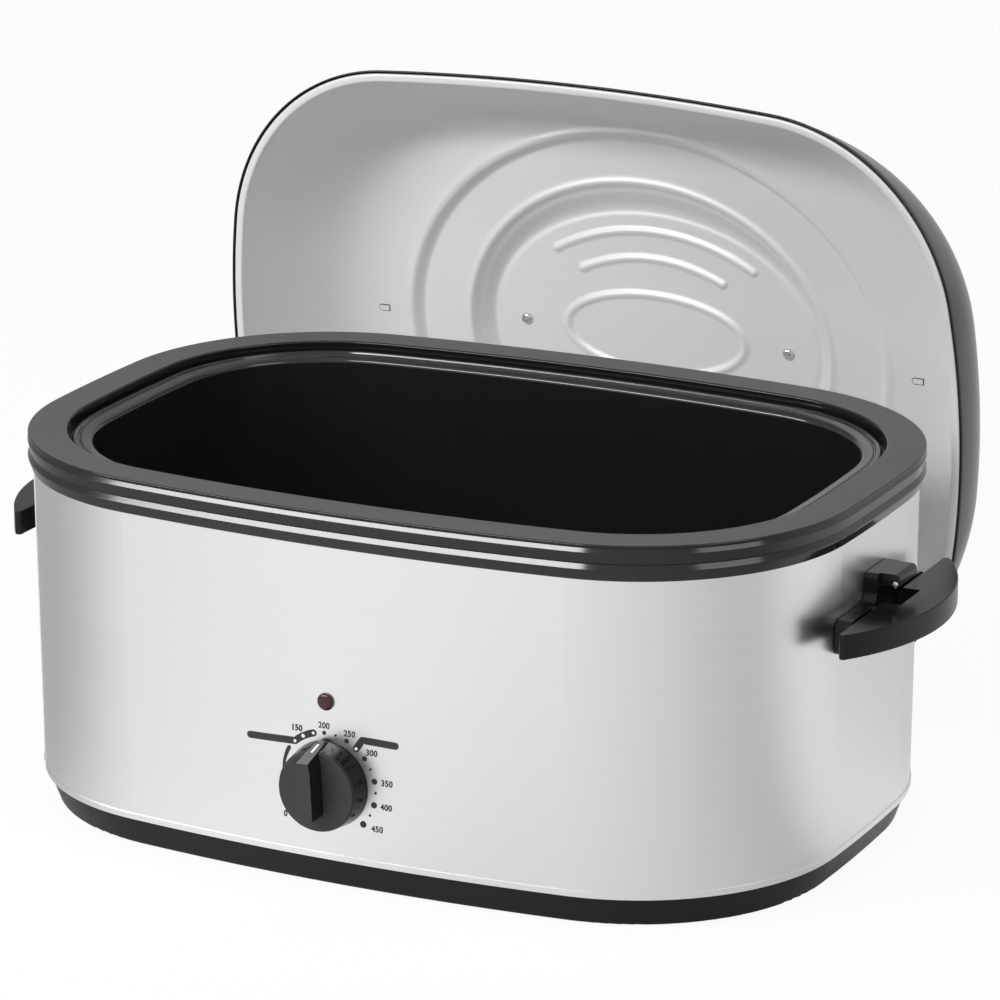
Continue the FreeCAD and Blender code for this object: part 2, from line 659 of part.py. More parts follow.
def make_knob():
    body = new_body("control_knob")
    section = outline_sketch(body, "knob_section", "XZ_Plane", [
        ("shaft_radius", "knob_gap"),
        ("knob_hub", "knob_gap"),
        ("knob_hub", "knob_depth - knob_shell"),
        ("knob_face - knob_shell", "knob_depth - knob_shell"),
        ("knob_base - knob_shell", "knob_gap"),
        ("knob_base", "knob_gap"),
        ("knob_base - 0.4", "knob_gap + 2.4"),
        ("knob_face + 0.6", "knob_depth - 1.6"),
        ("knob_face + 0.1", "knob_depth - 1.4"),
        ("knob_face", "knob_depth", "0.6"),
        ("0", "knob_depth"),
        ("0", "knob_depth - knob_shell"),
        ("shaft_radius", "knob_depth - knob_shell"),
    ])
    turn(body, section, "knob_turned")
    grip = outline_sketch(body, "grip_plan", "XY_Plane", [
        ("-grip_width / 2", "-grip_tail", "grip_width / 2 - 0.4"),
        ("grip_width / 2", "-grip_tail", "grip_width / 2 - 0.4"),
        ("grip_width / 2", "grip_tail", "6"),
        ("pointer_width / 2", "pointer_reach", "2"),
        ("-pointer_width / 2", "pointer_reach", "2"),
        ("-grip_width / 2", "grip_tail", "6"),
    ], "knob_depth - 1")
    pad(body, grip, "grip_rise + 1", "grip")
    tip = outline_sketch(body, "tip_plan", "XY_Plane", [
        ("-grip_width / 2 + 0.6", "knob_face - 6"),
        ("grip_width / 2 - 0.6", "knob_face - 6"),
        ("pointer_width / 2", "pointer_reach", "2"),
        ("-pointer_width / 2", "pointer_reach", "2"),
    ], "pointer_bottom")
    pad(body, tip, "knob_depth - pointer_bottom", "pointer_tip")
    slope = outline_sketch(body, "grip_slope", "YZ_Plane", [
        ("grip_front", "knob_depth + grip_rise + 0.1"),
        ("pointer_reach + 9", "knob_depth + grip_rise + 0.1"),
        ("pointer_reach + 9", "pointer_foot"),
        ("pointer_reach", "pointer_foot"),
    ])
    pocket(body, slope, "2 * grip_width", "grip_slope_cut", both_ways=True)
    face_forward(body, "knob_height", "knob_angle")
    keep(body, "control_knob")


def make_knob_mark():
    """The pale line let in on the pointer's sloping end."""
    body = new_body("knob_mark")
    rise = "(knob_depth + grip_rise + 0.1 - pointer_foot)"
    run = "(pointer_reach - grip_front)"
    near = ("grip_front + 0.5 * %s" % run, "pointer_foot + 0.5 * %s" % rise)
    far = ("grip_front + 0.85 * %s" % run, "pointer_foot + 0.15 * %s" % rise)
    section = outline_sketch(body, "mark_section", "YZ_Plane", [
        near, far,
        (far[0] + " + mark_thickness", far[1]),
        (near[0] + " + mark_thickness", near[1]),
    ])
    pad(body, section, "mark_width", "mark", both_ways=True)
    face_forward(body, "knob_height", "knob_angle")
    keep(body, "knob_mark")


def make_control_shaft():
    body = new_body("control_shaft")
    section = outline_sketch(body, "shaft_section", "XZ_Plane", [
        ("0", "-wall_sheet - bracket_gap - bracket_sheet - shaft_reach + 2"),
        ("shaft_radius", "-wall_sheet - bracket_gap - bracket_sheet - shaft_reach + 2"),
        ("shaft_radius", "knob_depth - knob_shell"),
        ("0", "knob_depth - knob_shell"),
    ])
    turn(body, section, "shaft_turned")
    face_forward(body, "knob_height")
    keep(body, "control_shaft")


def box_behind_wall(body, name, width, height, near, depth):
    """A block behind the front wall, centred on the control axis."""
    sketch = outline_sketch(body, name + "_face", "XY_Plane", [
        ("-(%s) / 2" % width, "-(%s) / 2" % height),
        ("(%s) / 2" % width, "-(%s) / 2" % height),
        ("(%s) / 2" % width, "(%s) / 2" % height),
        ("-(%s) / 2" % width, "(%s) / 2" % height),
    ], "-(%s)" % near)
    return pad(body, sketch, depth, name, reverse=True)


def make_thermostat():
    plate_front = "wall_sheet + bracket_gap"
    bracket = new_body("thermostat_bracket")
    box_behind_wall(bracket, "bracket_plate", "bracket_width", "bracket_height", plate_front, "bracket_sheet")
    hole = circle_sketch(bracket, "bracket_hole", "XY_Plane", [("0", "0", "shaft_radius + 0.5")],
                         "-(%s)" % plate_front)
    pocket(bracket, hole, "bracket_sheet + 1", "bracket_hole_cut")
    face_forward(bracket, "knob_height")
    keep(bracket, "thermostat_bracket")

    case_front = plate_front + " + bracket_sheet"
    case = new_body("thermostat_case")
    box_behind_wall(case, "case_block", "thermostat_width", "thermostat_height", case_front, "thermostat_depth")
    bore = circle_sketch(case, "case_bore", "XY_Plane", [("0", "0", "shaft_radius + shaft_clearance")],
                         "-(%s)" % case_front)
    pocket(case, bore, "thermostat_bore", "case_bore_cut")
    face_forward(case, "knob_height")
    keep(case, "thermostat_case")


def make_lamp():
    lens = new_body("lamp_lens")
    section = outline_sketch(lens, "lens_section", "XZ_Plane", [
        ("0", "-lens_stem_length"),
        ("lens_stem", "-lens_stem_length"),
        ("lens_stem", "0.1"),
        ("lens_radius", "0.1"),
        ("lens_radius", "lens_rise / 3"),
        ("lens_radius * 0.8", "lens_rise * 0.75", "3"),
        ("0", "lens_rise"),
    ])
    turn(lens, section, "lens_turned")
    face_forward(lens, "lamp_height")
    keep(lens, "lamp_lens")

    holder = new_body("lamp_holder")
    section = outline_sketch(holder, "holder_section", "XZ_Plane", [
        ("lens_stem + 0.1", "-wall_sheet - 0.8"),
        ("holder_radius", "-wall_sheet - 0.8"),
        ("holder_radius", "-holder_length"),
        ("0", "-holder_length"),
        ("0", "-holder_length + 1.5"),
        ("lens_stem + 0.1", "-holder_length + 1.5"),
    ])
    turn(holder, section, "holder_turned")
    face_forward(holder, "lamp_height")
    keep(holder, "lamp_holder")

    neon = new_body("neon_lamp")
    section = outline_sketch(neon, "neon_section", "XZ_Plane", [
        ("0", "-holder_length + 1.5"),
        ("neon_radius", "-holder_length + 1.5"),
        ("neon_radius", "-holder_length + neon_length - 2.5", "1.5"),
        ("0", "-holder_length + neon_length - 2.5"),
    ])
    turn(neon, section, "neon_turned")
    face_forward(neon, "lamp_height")
    keep(neon, "neon_lamp")


# ---------------------------------------------------------------- end handles

def turn_side(body, side):
    """The left end is the right end turned half round."""
    if side < 0:
        body.Placement = FreeCAD.Placement(
            FreeCAD.Vector(), FreeCAD.Rotation(FreeCAD.Vector(0, 0, 1), 180))


def block_between(body, name, across, low, high, inner, outer, cut=False, radius=None):
    """A block on the right-hand end: half-width along Y, a height range and an X range."""
    rounding = (radius,) if radius else ()
    sketch = outline_sketch(body, name + "_face", "YZ_Plane", [
        ("-(%s)" % across, low), ("(%s)" % across, low),
        ("(%s)" % across, high) + rounding, ("-(%s)" % across, high) + rounding,
    ], inner)
    if cut:
        return pocket(body, sketch, "(%s) - (%s)" % (outer, inner), name, reverse=True)
    return pad(body, sketch, "(%s) - (%s)" % (outer, inner), name)


def make_handle_bracket(side, label):
    body = new_body(label)
    start = "half_length - 6"
    bar = outline_sketch(body, "bar_face", "YZ_Plane", [
        ("-bar_half", "bar_bottom", "bar_round"), ("bar_half", "bar_bottom", "bar_round"),
        ("bar_half", "handle_top - 1", "bar_round"),
        ("post_half", "handle_top", "bar_round"),
        ("post_half", "arm_top", "arm_round"), ("-post_half", "arm_top", "arm_round"),
        ("-post_half", "handle_top", "bar_round"),
        ("-bar_half", "handle_top - 1", "bar_round"),
    ], start)
    pad(body, bar, "bar_outer - (%s)" % start, "bar")
    for s in (-1, 1):
        lug = outline_sketch(body, "lug_face_%d" % (s + 1), "YZ_Plane", [
            ("%d * lug_inner" % s, "lug_bottom"), ("%d * lug_outer" % s, "lug_bottom"),
            ("%d * lug_outer" % s, "lug_top"), ("%d * lug_inner" % s, "lug_top"),
        ], "bar_outer - 1")
        pad(body, lug, "handle_chord - bar_outer + 1", "lug_%d" % (s + 1))
    arm = outline_sketch(body, "arm_side", "XZ_Plane", [
        ("bar_outer - 1", "arm_top - arm_thickness"),
        ("arm_outer", "arm_top - arm_thickness", "1"),
        ("arm_outer", "arm_top", "arm_round"),
        ("bar_outer - 1", "arm_top"),
    ])
    pad(body, arm, "2 * arm_half", "arm", both_ways=True)
    step = "0" if side > 0 else "seam_step"
    clear = "%s + mount_gap - wall_taper * (%s - arm_top) / (%s - wall_bottom)" % (step, WALL_TOP, WALL_TOP)
    wall = plan_sketch(body, "wall_plan", grow=clear, lift="arm_top + 5")
    pocket(body, wall, "arm_top", "wall_cut")
    bores = circle_sketch(body, "screw_bores", "YZ_Plane", [
        ("%d * handle_screw_y" % s, "handle_screw_height", "handle_screw_shank") for s in (-1, 1)], start)
    pocket(body, bores, "handle_screw_depth + 6", "screw_bore_cut", reverse=True)
    turn_side(body, side)
    keep(body, label)


def make_handle_grip(side, label):
    body = new_body(label)
    chord, half, bulge = "handle_chord", "handle_half", "handle_bulge"
    sketch = new_sketch(body, "grip_plan", "XY_Plane", "handle_top - handle_thickness")
    x, y, rise = size(chord), size(half), size(bulge)
    arc = Part.Arc(FreeCAD.Vector(x, -y, 0), FreeCAD.Vector(x + rise, 0, 0), FreeCAD.Vector(x, y, 0))
    curve = sketch.addGeometry(arc, False)
    line = sketch.addGeometry(Part.LineSegment(FreeCAD.Vector(x, y, 0), FreeCAD.Vector(x, -y, 0)), False)
    sketch.addConstraint(Sketcher.Constraint("Coincident", curve, 2, line, 1))
    sketch.addConstraint(Sketcher.Constraint("Coincident", line, 2, curve, 1))
    pin_point(sketch, line, 1, chord, half)
    pin_point(sketch, line, 2, chord, "-" + half)
    dimension(sketch, "Radius", (curve,), "(%s * %s + %s * %s) / (2 * %s)" % (half, half, bulge, bulge, bulge))
    pad(body, sketch, "handle_thickness", "grip_block")
    notch = outline_sketch(body, "notch_plan", "XY_Plane", [
        ("handle_chord - 1", "-handle_notch / 2"),
        ("handle_chord + handle_notch_depth", "-handle_notch / 2"),
        ("handle_chord + handle_notch_depth", "handle_notch / 2"),
        ("handle_chord - 1", "handle_notch / 2"),
    ], "handle_top")
    cut = pocket(body, notch, "handle_thickness", "notch_cut")
    doc.recompute()
    tips = [index for index, edge in enumerate(body.Shape.Edges, start=1)
            if edge.BoundBox.YLength < 0.01 and abs(edge.BoundBox.YMin) > size(half) - 1]
    blend = body.newObject("PartDesign::Fillet", "tip_round")
    blend.Base = (cut, ["Edge%d" % index for index in tips])
    blend.setExpression("Radius", bound("handle_round"))
    body.Tip = blend
    turn_side(body, side)
    keep(body, label)


def make_handle_screws():
    screws = []
    for side in (-1, 1):
        step = "0" if side > 0 else "seam_step"
        face = "half_length + %s - wall_taper - wall_sheet" % step
        for s in (-1, 1):
            name = "%s_%s" % ("right" if side > 0 else "left", "back" if s > 0 else "front")
            parts = []
            for kind, radius, start, length in (
                    ("head", "handle_screw_head", face + " - handle_screw_head_height",
                     "handle_screw_head_height"),
                    ("shank", "handle_screw_shank", face, "handle_screw_depth")):
                item = cylinder("handle_screw_%s_%s" % (kind, name), radius, length,
                                "%d * (%s)" % (side, start), "%d * handle_screw_y" % s, "handle_screw_height")
                base = FreeCAD.Rotation(FreeCAD.Vector(0, 1, 0), 90 * side)
                item.Placement = FreeCAD.Placement(item.Placement.Base, base)
                parts.append(item)
            screws.append(fuse("handle_screw_" + name, parts))
    group("handle_screws", screws)


# ---------------------------------------------------------------- inlet and wiring

def make_cord_bushing():
    body = new_body("cord_bushing")
    section = outline_sketch(body, "bushing_section", "XZ_Plane", [
        ("bushing_bore", "-bushing_length + bushing_flange_thickness"),
        ("bushing_neck + 1.5", "-bushing_length + bushing_flange_thickness"),
        ("bushing_neck + 1.5", "-wall_sheet - 0.8"),
        ("bushing_neck", "-wall_sheet - 0.8"),
        ("bushing_neck", "0.3"),
        ("bushing_flange", "0.3"),
        ("bushing_flange", "bushing_flange_thickness", "1"),
        ("bushing_bore", "bushing_flange_thickness", "1"),
    ])
    turn(body, section, "bushing_turned")
    body.Placement = inlet_place()
    keep(body, "cord_bushing")


def make_terminal_block():
    body = new_body("terminal_block")
    floor = "ground_gap + ledge_thickness + plate_thickness"
    plan = outline_sketch(body, "block_plan", "XY_Plane", [
        ("block_x - block_length / 2", "block_y - block_width / 2"),
        ("block_x + block_length / 2", "block_y - block_width / 2"),
        ("block_x + block_length / 2", "block_y + block_width / 2"),
        ("block_x - block_length / 2", "block_y + block_width / 2"),
    ], floor)
    pad(body, plan, "block_height", "block")
    keep(body, "terminal_block")


def lead_shape(points, radius, bend):
    """A round lead along straight runs that are joined by tangent arcs."""
    edges = []
    start = points[0]
    for before, corner, after in zip(points, points[1:], points[2:]):
        back = (before - corner).normalize()
        ahead = (after - corner).normalize()
        half = back.getAngle(ahead) / 2
        cut = bend / math.tan(half)
        middle = corner + (back + ahead).normalize() * (bend / math.sin(half) - bend)
        edges.append(Part.LineSegment(start, corner + back * cut).toShape())
        edges.append(Part.Arc(corner + back * cut, middle, corner + ahead * cut).toShape())
        start = corner + ahead * cut
    edges.append(Part.LineSegment(start, points[-1]).toShape())
    path = Part.Wire(edges)
    first = (points[1] - points[0]).normalize()
    ring = Part.Wire([Part.makeCircle(radius, points[0], first)])
    return path.makePipeShell([ring], True, True)


def make_leads():
    """The two inner leads: terminal block to thermostat, thermostat to heater band."""
    level = size("lead_level")
    bend = size("lead_bend")
    case_bottom = size("knob_height - thermostat_height / 2")
    case_y = -size("%s - wall_sheet - bracket_gap - bracket_sheet - thermostat_depth / 2" % wall_face("knob_height"))
    block_front = size("block_y - block_width / 2")
    start_x = size("block_x - block_length / 4")
    feed_x = size("control_x + thermostat_width / 4")
    feed = doc.addObject("Part::Feature", "feed_lead")
    feed.Shape = lead_shape([
        FreeCAD.Vector(start_x, block_front, level),
        FreeCAD.Vector(start_x, block_front - size("lead_start"), level),
        FreeCAD.Vector(feed_x, case_y + size("lead_approach"), level),
        FreeCAD.Vector(feed_x, case_y, level),
        FreeCAD.Vector(feed_x, case_y, case_bottom),
    ], size("lead_radius"), bend)
    keep(feed, "feed_lead")


# ---------------------------------------------------------------- lid

CROWN_STEPS = (("outer_step_length", "outer_step_depth", "step_run"),
               ("middle_step_length", "middle_step_depth", "step_run"),
               ("plate_length", "plate_depth", "plate_run"))
LID_LEVELS = (0, 0.2, 0.37, 0.52, 0.64, 0.74, 0.83, 0.9, 0.95, 0.985, 1)


def lid_levels(inset):
    """The dome as plans from the rim to the crown, one sheet-depth inside its outer form: (plan, height)."""
    plans = []
    for level in LID_LEVELS:
        bow = "(1 - (1 - %s ^ lid_dome_power) ^ (1 / lid_dome_power))" % level
        if level in (0, 1):
            bow = str(level)
        along = "(lid_end_inset * %s + lid_end_draft * %s * lid_crown_height + (%s))" % (bow, level, inset)
        deep = "(lid_side_inset * %s + lid_side_draft * %s * lid_crown_height + (%s))" % (bow, level, inset)
        plan = (
            "lid_half_length - %s" % along,
            "lid_half_depth - %s" % deep,
            "lid_front_arc - %s" % along,
            "lid_end_arc - %s" % along,
            "lid_corner_arc - %s / 2" % along,
        )
        plans.append((plan, "%s * (lid_crown_height - (%s))" % (level, inset)))
    return plans


def shell_loft(body, name, inset, below, cut=False):
    sketches = []
    for index, (plan, height) in enumerate(lid_levels(inset)):
        lift = "-(%s)" % below if index == 0 else height
        sketches.append(plan_sketch(body, "%s_%d" % (name, index), plan, "0", lift))
    return loft(body, sketches, name, cut, straight=True)


def step_loft(body, name, step, inset, base, cut=False):
    """One oval step in the crown. step is its half-length, its half-depth and the run of its slope."""
    length, deep, run = step
    low = ellipse_sketch(body, name + "_low", "%s - (%s)" % (length, inset), "%s - (%s)" % (deep, inset), base)
    high = ellipse_sketch(body, name + "_high", "%s - %s - (%s)" % (length, run, inset),
                          "%s - %s - (%s)" % (deep, run, inset), base + " + step_rise")
    return loft(body, [low, high], name, cut, straight=True)


def crown_steps(body, name, inset, cut=False):
    """Three oval steps, one on the other, which lead up to the flat plate that carries the handle."""
    for number, step in enumerate(CROWN_STEPS):
        step_loft(body, "%s_%d" % (name, number), step, inset,
                  "lid_crown_height - (%s) + %d * step_rise" % (inset, number), cut)


def lid_shell(body, name, inset, sheet_size, below):
    """A stepped dome of one sheet: the outer form, and the same form cut one sheet further in."""
    inner = "%s + %s" % (inset, sheet_size)
    shell_loft(body, name + "_form", inset, below)
    crown_steps(body, name + "_step", inset)
    shell_loft(body, name + "_hollow", inner, below + " + 1", cut=True)
    crown_steps(body, name + "_step_hollow", inner, cut=True)


def screw_pair_holes(body, name, lift):
    holes = circle_sketch(body, name + "_circles", "XY_Plane", [
        ("%d * lid_screw_x" % s, "0", "lid_screw_shank + hole_clearance") for s in (-1, 1)], lift)
    pocket(body, holes, "cover_sheet + liner_gap + liner_sheet", name)


def stand_lid(item):
    """Stand a piece of the lid behind the body, with its open side to the front."""
    axis_x, axis_y, axis_z = (FreeCAD.Vector(*v) for v in ((1, 0, 0), (0, 1, 0), (0, 0, 1)))
    turned = FreeCAD.Rotation(axis_z, size("lid_yaw")).multiply(
        FreeCAD.Rotation(axis_y, size("lid_roll"))).multiply(
        FreeCAD.Rotation(axis_x, size("lid_tilt") - 90))
    place = FreeCAD.Placement(FreeCAD.Vector(size("lid_x"), size("lid_y"), size("lid_z")), turned)
    item.Placement = place.multiply(item.Placement)


CROWN_TOP = "(lid_crown_height + 3 * step_rise)"
LINER_CEILING = "(lid_crown_height - cover_sheet - liner_gap - liner_sheet + 3 * step_rise)"


def make_lid_cover():
    body = new_body("lid_cover")
    lid_shell(body, "cover", "0", "cover_sheet", "rim_below")
    screw_pair_holes(body, "cover_screw_holes", CROWN_TOP)
    stand_lid(body)
    keep(body, "lid_cover")


def make_lid_liner():
    body = new_body("lid_liner")
    lid_shell(body, "liner", "cover_sheet + liner_gap", "liner_sheet", "rim_below - 0.4")
    outer = "lid_half_length - cover_sheet - rim_gap"
    ring_around(body, [
        (outer, "-rim_below", "0.8"),
        (outer, "rim_above", "0.6"),
        (outer + " - rim_width", "rim_above"),
        (outer + " - rim_width", "-rim_below", "0.8"),
    ], "rim_bead", LID_PLAN)
    screw_pair_holes(body, "liner_screw_holes", LINER_CEILING + " + liner_sheet")
    stand_lid(body)
    keep(body, "lid_liner")


def make_lid_handle():
    body = new_body("lid_handle")
    seat = "%s + washer_thickness" % CROWN_TOP
    inner, outer = "lid_screw_x - lid_grip_foot", "lid_screw_x + lid_grip_foot"
    top, clear = "%s + lid_grip_top" % CROWN_TOP, "%s + lid_grip_clear" % CROWN_TOP
    side = outline_sketch(body, "arch_side", "XZ_Plane", [
        ("-(%s)" % outer, seat),
        ("-(%s) + lid_grip_lean" % outer, top, "lid_grip_round"),
        ("%s - lid_grip_lean" % outer, top, "lid_grip_round"),
        (outer, seat),
        (inner, seat),
        ("%s - lid_grip_lean" % inner, clear, "lid_grip_round / 2"),
        ("-(%s) + lid_grip_lean" % inner, clear, "lid_grip_round / 2"),
        ("-(%s)" % inner, seat),
    ])
    pad(body, side, "lid_grip_width", "arch", both_ways=True)
    bores = circle_sketch(body, "handle_bores", "XY_Plane", [
        ("%d * lid_screw_x" % s, "0", "lid_screw_shank") for s in (-1, 1)], seat)
    pocket(body, bores, "lid_screw_depth", "handle_bore_cut", reverse=True)
    stand_lid(body)
    keep(body, "lid_handle")


def make_lid_fixings():
    washers, screws = [], []
    for index, s in enumerate((-1, 1)):
        x = "%d * lid_screw_x" % s
        disc = cylinder("washer_disc_%d" % index, "washer_radius", "washer_thickness", x, "0", CROWN_TOP)
        hole = cylinder("washer_hole_%d" % index, "lid_screw_shank + hole_clearance",
                        "washer_thickness", x, "0", CROWN_TOP)
        washer = doc.addObject("Part::Cut", "washer_%d" % index)
        washer.Base = disc
        washer.Tool = hole
        washers.append(washer)
        head = cylinder("lid_screw_head_%d" % index, "lid_screw_head", "lid_screw_head_height", x, "0",
                        "%s - lid_screw_head_height" % LINER_CEILING)
        shank = cylinder("lid_screw_shank_%d" % index, "lid_screw_shank",
                         "%s + washer_thickness + lid_screw_depth - %s" % (CROWN_TOP, LINER_CEILING),
                         x, "0", LINER_CEILING)
        screws.append(fuse("lid_screw_%d" % index, [head, shank]))
    stand_lid(group("lid_washers", washers))
    stand_lid(group("lid_screws", screws))


# ---------------------------------------------------------------- the whole oven

make_base_skirt()
make_base_plate()
make_rubber_feet()
make_base_screws()
make_support_posts()
make_bottom_shield()
make_front_wrap()
make_rear_wrap()
make_collar_ring()
make_heating_well()
make_heater_band()
make_insulation_wrap()
make_roasting_pan()
make_knob()
make_knob_mark()
make_control_shaft()
make_thermostat()
make_lamp()
for side, word in ((1, "right"), (-1, "left")):
    make_handle_bracket(side, word + "_handle_bracket")
    make_handle_grip(side, word + "_handle_grip")
make_handle_screws()
make_cord_bushing()
make_terminal_block()
make_leads()
make_lid_cover()
make_lid_liner()
make_lid_handle()
make_lid_fixings()

doc.recompute()
for item in doc.Objects:
    if "Invalid" in item.State or "Error" in item.State:
        raise RuntimeError("%s failed: %s" % (item.Name, item.State))
for item in NODES:
    if item.Shape.isNull() or not item.Shape.isValid():
        raise RuntimeError("%s has no valid shape" % item.Label)

os.makedirs("parts", exist_ok=True)
for item in NODES:
    item.Shape.exportStep("parts/%s.step" % item.Label)
    box = item.Shape.BoundBox
    print("%-22s solids %d  volume %10.1f  x %7.1f %7.1f  y %7.1f %7.1f  z %7.1f %7.1f" % (
        item.Label, len(item.Shape.Solids), item.Shape.Volume,
        box.XMin, box.XMax, box.YMin, box.YMax, box.ZMin, box.ZMax))
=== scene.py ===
# %% [markdown]
# # Dressing an electric roaster oven
# The solids of the oven come from CAD as a fixed frame: the steel wall, the black collar, the pan, the lid that
# stands behind it, the knob and the handles. This lesson gives them their finishes, models the thin and the softly
# pressed forms that CAD leaves plain, and sets up a small studio. Lengths are in metres, X runs to the right,
# Y runs away from the front, and Z is up from the table.

# %% Load the frame
import math

import bpy
from mathutils import Matrix, Vector


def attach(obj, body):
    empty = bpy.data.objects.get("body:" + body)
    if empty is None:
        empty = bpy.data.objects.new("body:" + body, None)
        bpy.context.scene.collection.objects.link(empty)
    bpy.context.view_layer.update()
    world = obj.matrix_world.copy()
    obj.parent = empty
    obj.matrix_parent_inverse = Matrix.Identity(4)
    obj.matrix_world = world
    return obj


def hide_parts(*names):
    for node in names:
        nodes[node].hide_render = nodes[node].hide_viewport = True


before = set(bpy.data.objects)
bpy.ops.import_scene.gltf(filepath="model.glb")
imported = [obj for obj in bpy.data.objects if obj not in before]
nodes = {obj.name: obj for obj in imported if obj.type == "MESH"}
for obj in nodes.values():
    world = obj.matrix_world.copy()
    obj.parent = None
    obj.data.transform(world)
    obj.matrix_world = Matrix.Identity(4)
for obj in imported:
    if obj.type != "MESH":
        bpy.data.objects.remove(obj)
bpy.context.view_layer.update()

MM = 0.001

# %% [markdown]
# ## The camera
# A product picture is taken from far off with a long lens, so that upright edges stay upright. The camera is set by
# the point that it looks at, a turn round the object, a height angle and a distance, which are easier to reason
# about than three rotation angles. The lens is given in pixels of a picture 1000 pixels wide, and Blender's lens
# length follows from its 36 mm sensor.

# %% Place the camera
LOOK_AT = Vector((0.016721, 0.0, 0.191151))
TURN, LIFT, ROLL = math.radians(26.363), math.radians(16.931), math.radians(-0.108)
DISTANCE, FOCAL_PIXELS, PICTURE_PIXELS, SENSOR_MM, FAR_CLIP = 3.0597, 5102.3, 1000, 36, 60

right = Vector((math.cos(TURN), math.sin(TURN), 0))
back = Vector((math.sin(TURN) * math.cos(LIFT), -math.cos(TURN) * math.cos(LIFT), math.sin(LIFT)))
up = back.cross(right)
camera_axes = Matrix((right, up, back)).transposed() @ Matrix.Rotation(ROLL, 3, "Z")

bpy.ops.object.camera_add()
camera = bpy.context.object
camera.name = "studio_camera"
camera.data.lens = FOCAL_PIXELS * SENSOR_MM / PICTURE_PIXELS
camera.data.sensor_width = SENSOR_MM
camera.data.clip_end = FAR_CLIP
camera.matrix_world = Matrix.Translation(LOOK_AT + back * DISTANCE) @ camera_axes.to_4x4()
bpy.context.scene.camera = camera
print("lens", round(camera.data.lens, 1), "mm")

# %% [markdown]
# ## A way to write materials
# A material is a graph of nodes, and a graph is slow to read when each link is made by hand. `Value` wraps one
# output of a node, and its operators add Math nodes, so a mask can be written as `1 - streak * 0.3`. The reflected
# forms, such as `__rsub__`, are what Python calls when the plain number comes first.

# %% The Value class
class Value:
    """One output of a node, which can be added, subtracted and multiplied as a number can."""
    def __init__(self, graph, socket):
        self.graph, self.socket = graph, socket

    def math(self, operation, first, second):
        return self.graph.node("ShaderNodeMath", {"operation": operation}, {0: first, 1: second})

    def __add__(self, other):
        return self.math("ADD", self, other)

    def __radd__(self, other):
        return self.math("ADD", other, self)

    def __sub__(self, other):
        return self.math("SUBTRACT", self, other)

    def __rsub__(self, other):
        return self.math("SUBTRACT", other, self)

    def __mul__(self, other):
        return self.math("MULTIPLY", self, other)

    def __rmul__(self, other):
        return self.math("MULTIPLY", other, self)

    def over(self, limit):
        """1 where this is more than the limit, and 0 elsewhere."""
        return self.math("GREATER_THAN", self, limit)

    def or_more(self, other):
        """The larger of the two."""
        return self.math("MAXIMUM", self, other)

# %% [markdown]
# ## One method that adds a node
# Materials and the world are made of the same kind of node tree, so `Graph` wraps either. Its one method takes the
# type of a node, its settings and what goes into its sockets, and gives back the output that is asked for. Settings
# are made first, because they can change which sockets a node has. A colour ramp's stops count as a setting.

# %% The Graph class
class Graph:
    def __init__(self, tree):
        self.tree = tree
        tree.nodes.clear()

    def node(self, kind, settings=None, sockets=None, output=0):
        made = self.tree.nodes.new(kind)
        for name, setting in (settings or {}).items():
            if name == "stops":
                ramp = made.color_ramp
                while len(ramp.elements) < len(setting):
                    ramp.elements.new(0.5)
                for element, (place, color) in zip(ramp.elements, setting):
                    element.position = place
                    element.color = (*color, 1)
            else:
                setattr(made, name, setting)
        for name, given in (sockets or {}).items():
            if isinstance(given, Value):
                self.tree.links.new(given.socket, made.inputs[name])
            else:
                made.inputs[name].default_value = given
        return Value(self, made.outputs[output]) if made.outputs else None

# %% [markdown]
# ## A finish
# `Finish` is a material that starts with a Principled shader. Numbers that are the same all over are set on the
# shader's own sockets. `noise` is the pattern behind every finish here: it reads object coordinates, so it stays on
# the piece, and a large scale along an axis packs it tightly there. `facing` tells which way the surface looks.

# %% The Finish class
class Finish(Graph):
    def __init__(self, name, color, roughness, metallic=0.0, plain=None):
        self.material = bpy.data.materials.new(name)
        self.material.use_nodes = True
        self.material.diffuse_color = (*color, 1)
        super().__init__(self.material.node_tree)
        surface = self.node("ShaderNodeBsdfPrincipled", {}, {
            "Base Color": (*color, 1), "Roughness": roughness, "Metallic": metallic, **(plain or {})})
        self.node("ShaderNodeOutputMaterial", {}, {"Surface": surface})
        self.shader = surface.socket.node

    def feed(self, socket, value):
        self.tree.links.new(value.socket, self.shader.inputs[socket])

    def noise(self, size, detail, scale=(1, 1, 1)):
        spot = self.node("ShaderNodeTexCoord", output="Object")
        place = self.node("ShaderNodeMapping", {}, {"Vector": spot, "Scale": scale})
        return self.node("ShaderNodeTexNoise", {}, {"Vector": place, "Scale": size, "Detail": detail})

    def facing(self, axis):
        """How far the surface faces along an axis, from -1 to 1."""
        normal = self.node("ShaderNodeTexCoord", output="Normal")
        return self.node("ShaderNodeSeparateXYZ", {}, {"Vector": normal}, output=axis)

    def between(self, low, high, mask):
        """A colour that runs from low to high with the mask."""
        return self.node("ShaderNodeMix", {"data_type": "RGBA"}, {0: mask, 6: (*low, 1), 7: (*high, 1)}, output=2)

    def bump(self, height, depth, strength):
        self.feed("Normal", self.node("ShaderNodeBump", {}, {
            "Height": height, "Distance": depth, "Strength": strength}))

    def give(self, *names):
        for name in names:
            for slot in nodes[name].material_slots:
                slot.material = self.material
        print(self.material.name, "on", ", ".join(names) or "modelled pieces")

# %% [markdown]
# ## Brushed steel
# The wall is two long sheets of stainless steel, brushed along their length. Brushing leaves fine grooves that all
# run level, so light spreads up and down much more than along the wall. A noise that is stretched hard along X and Y
# and packed tightly along Z follows the wall round its corners, because the grooves are level everywhere. It drives
# colour, roughness and a very small bump.

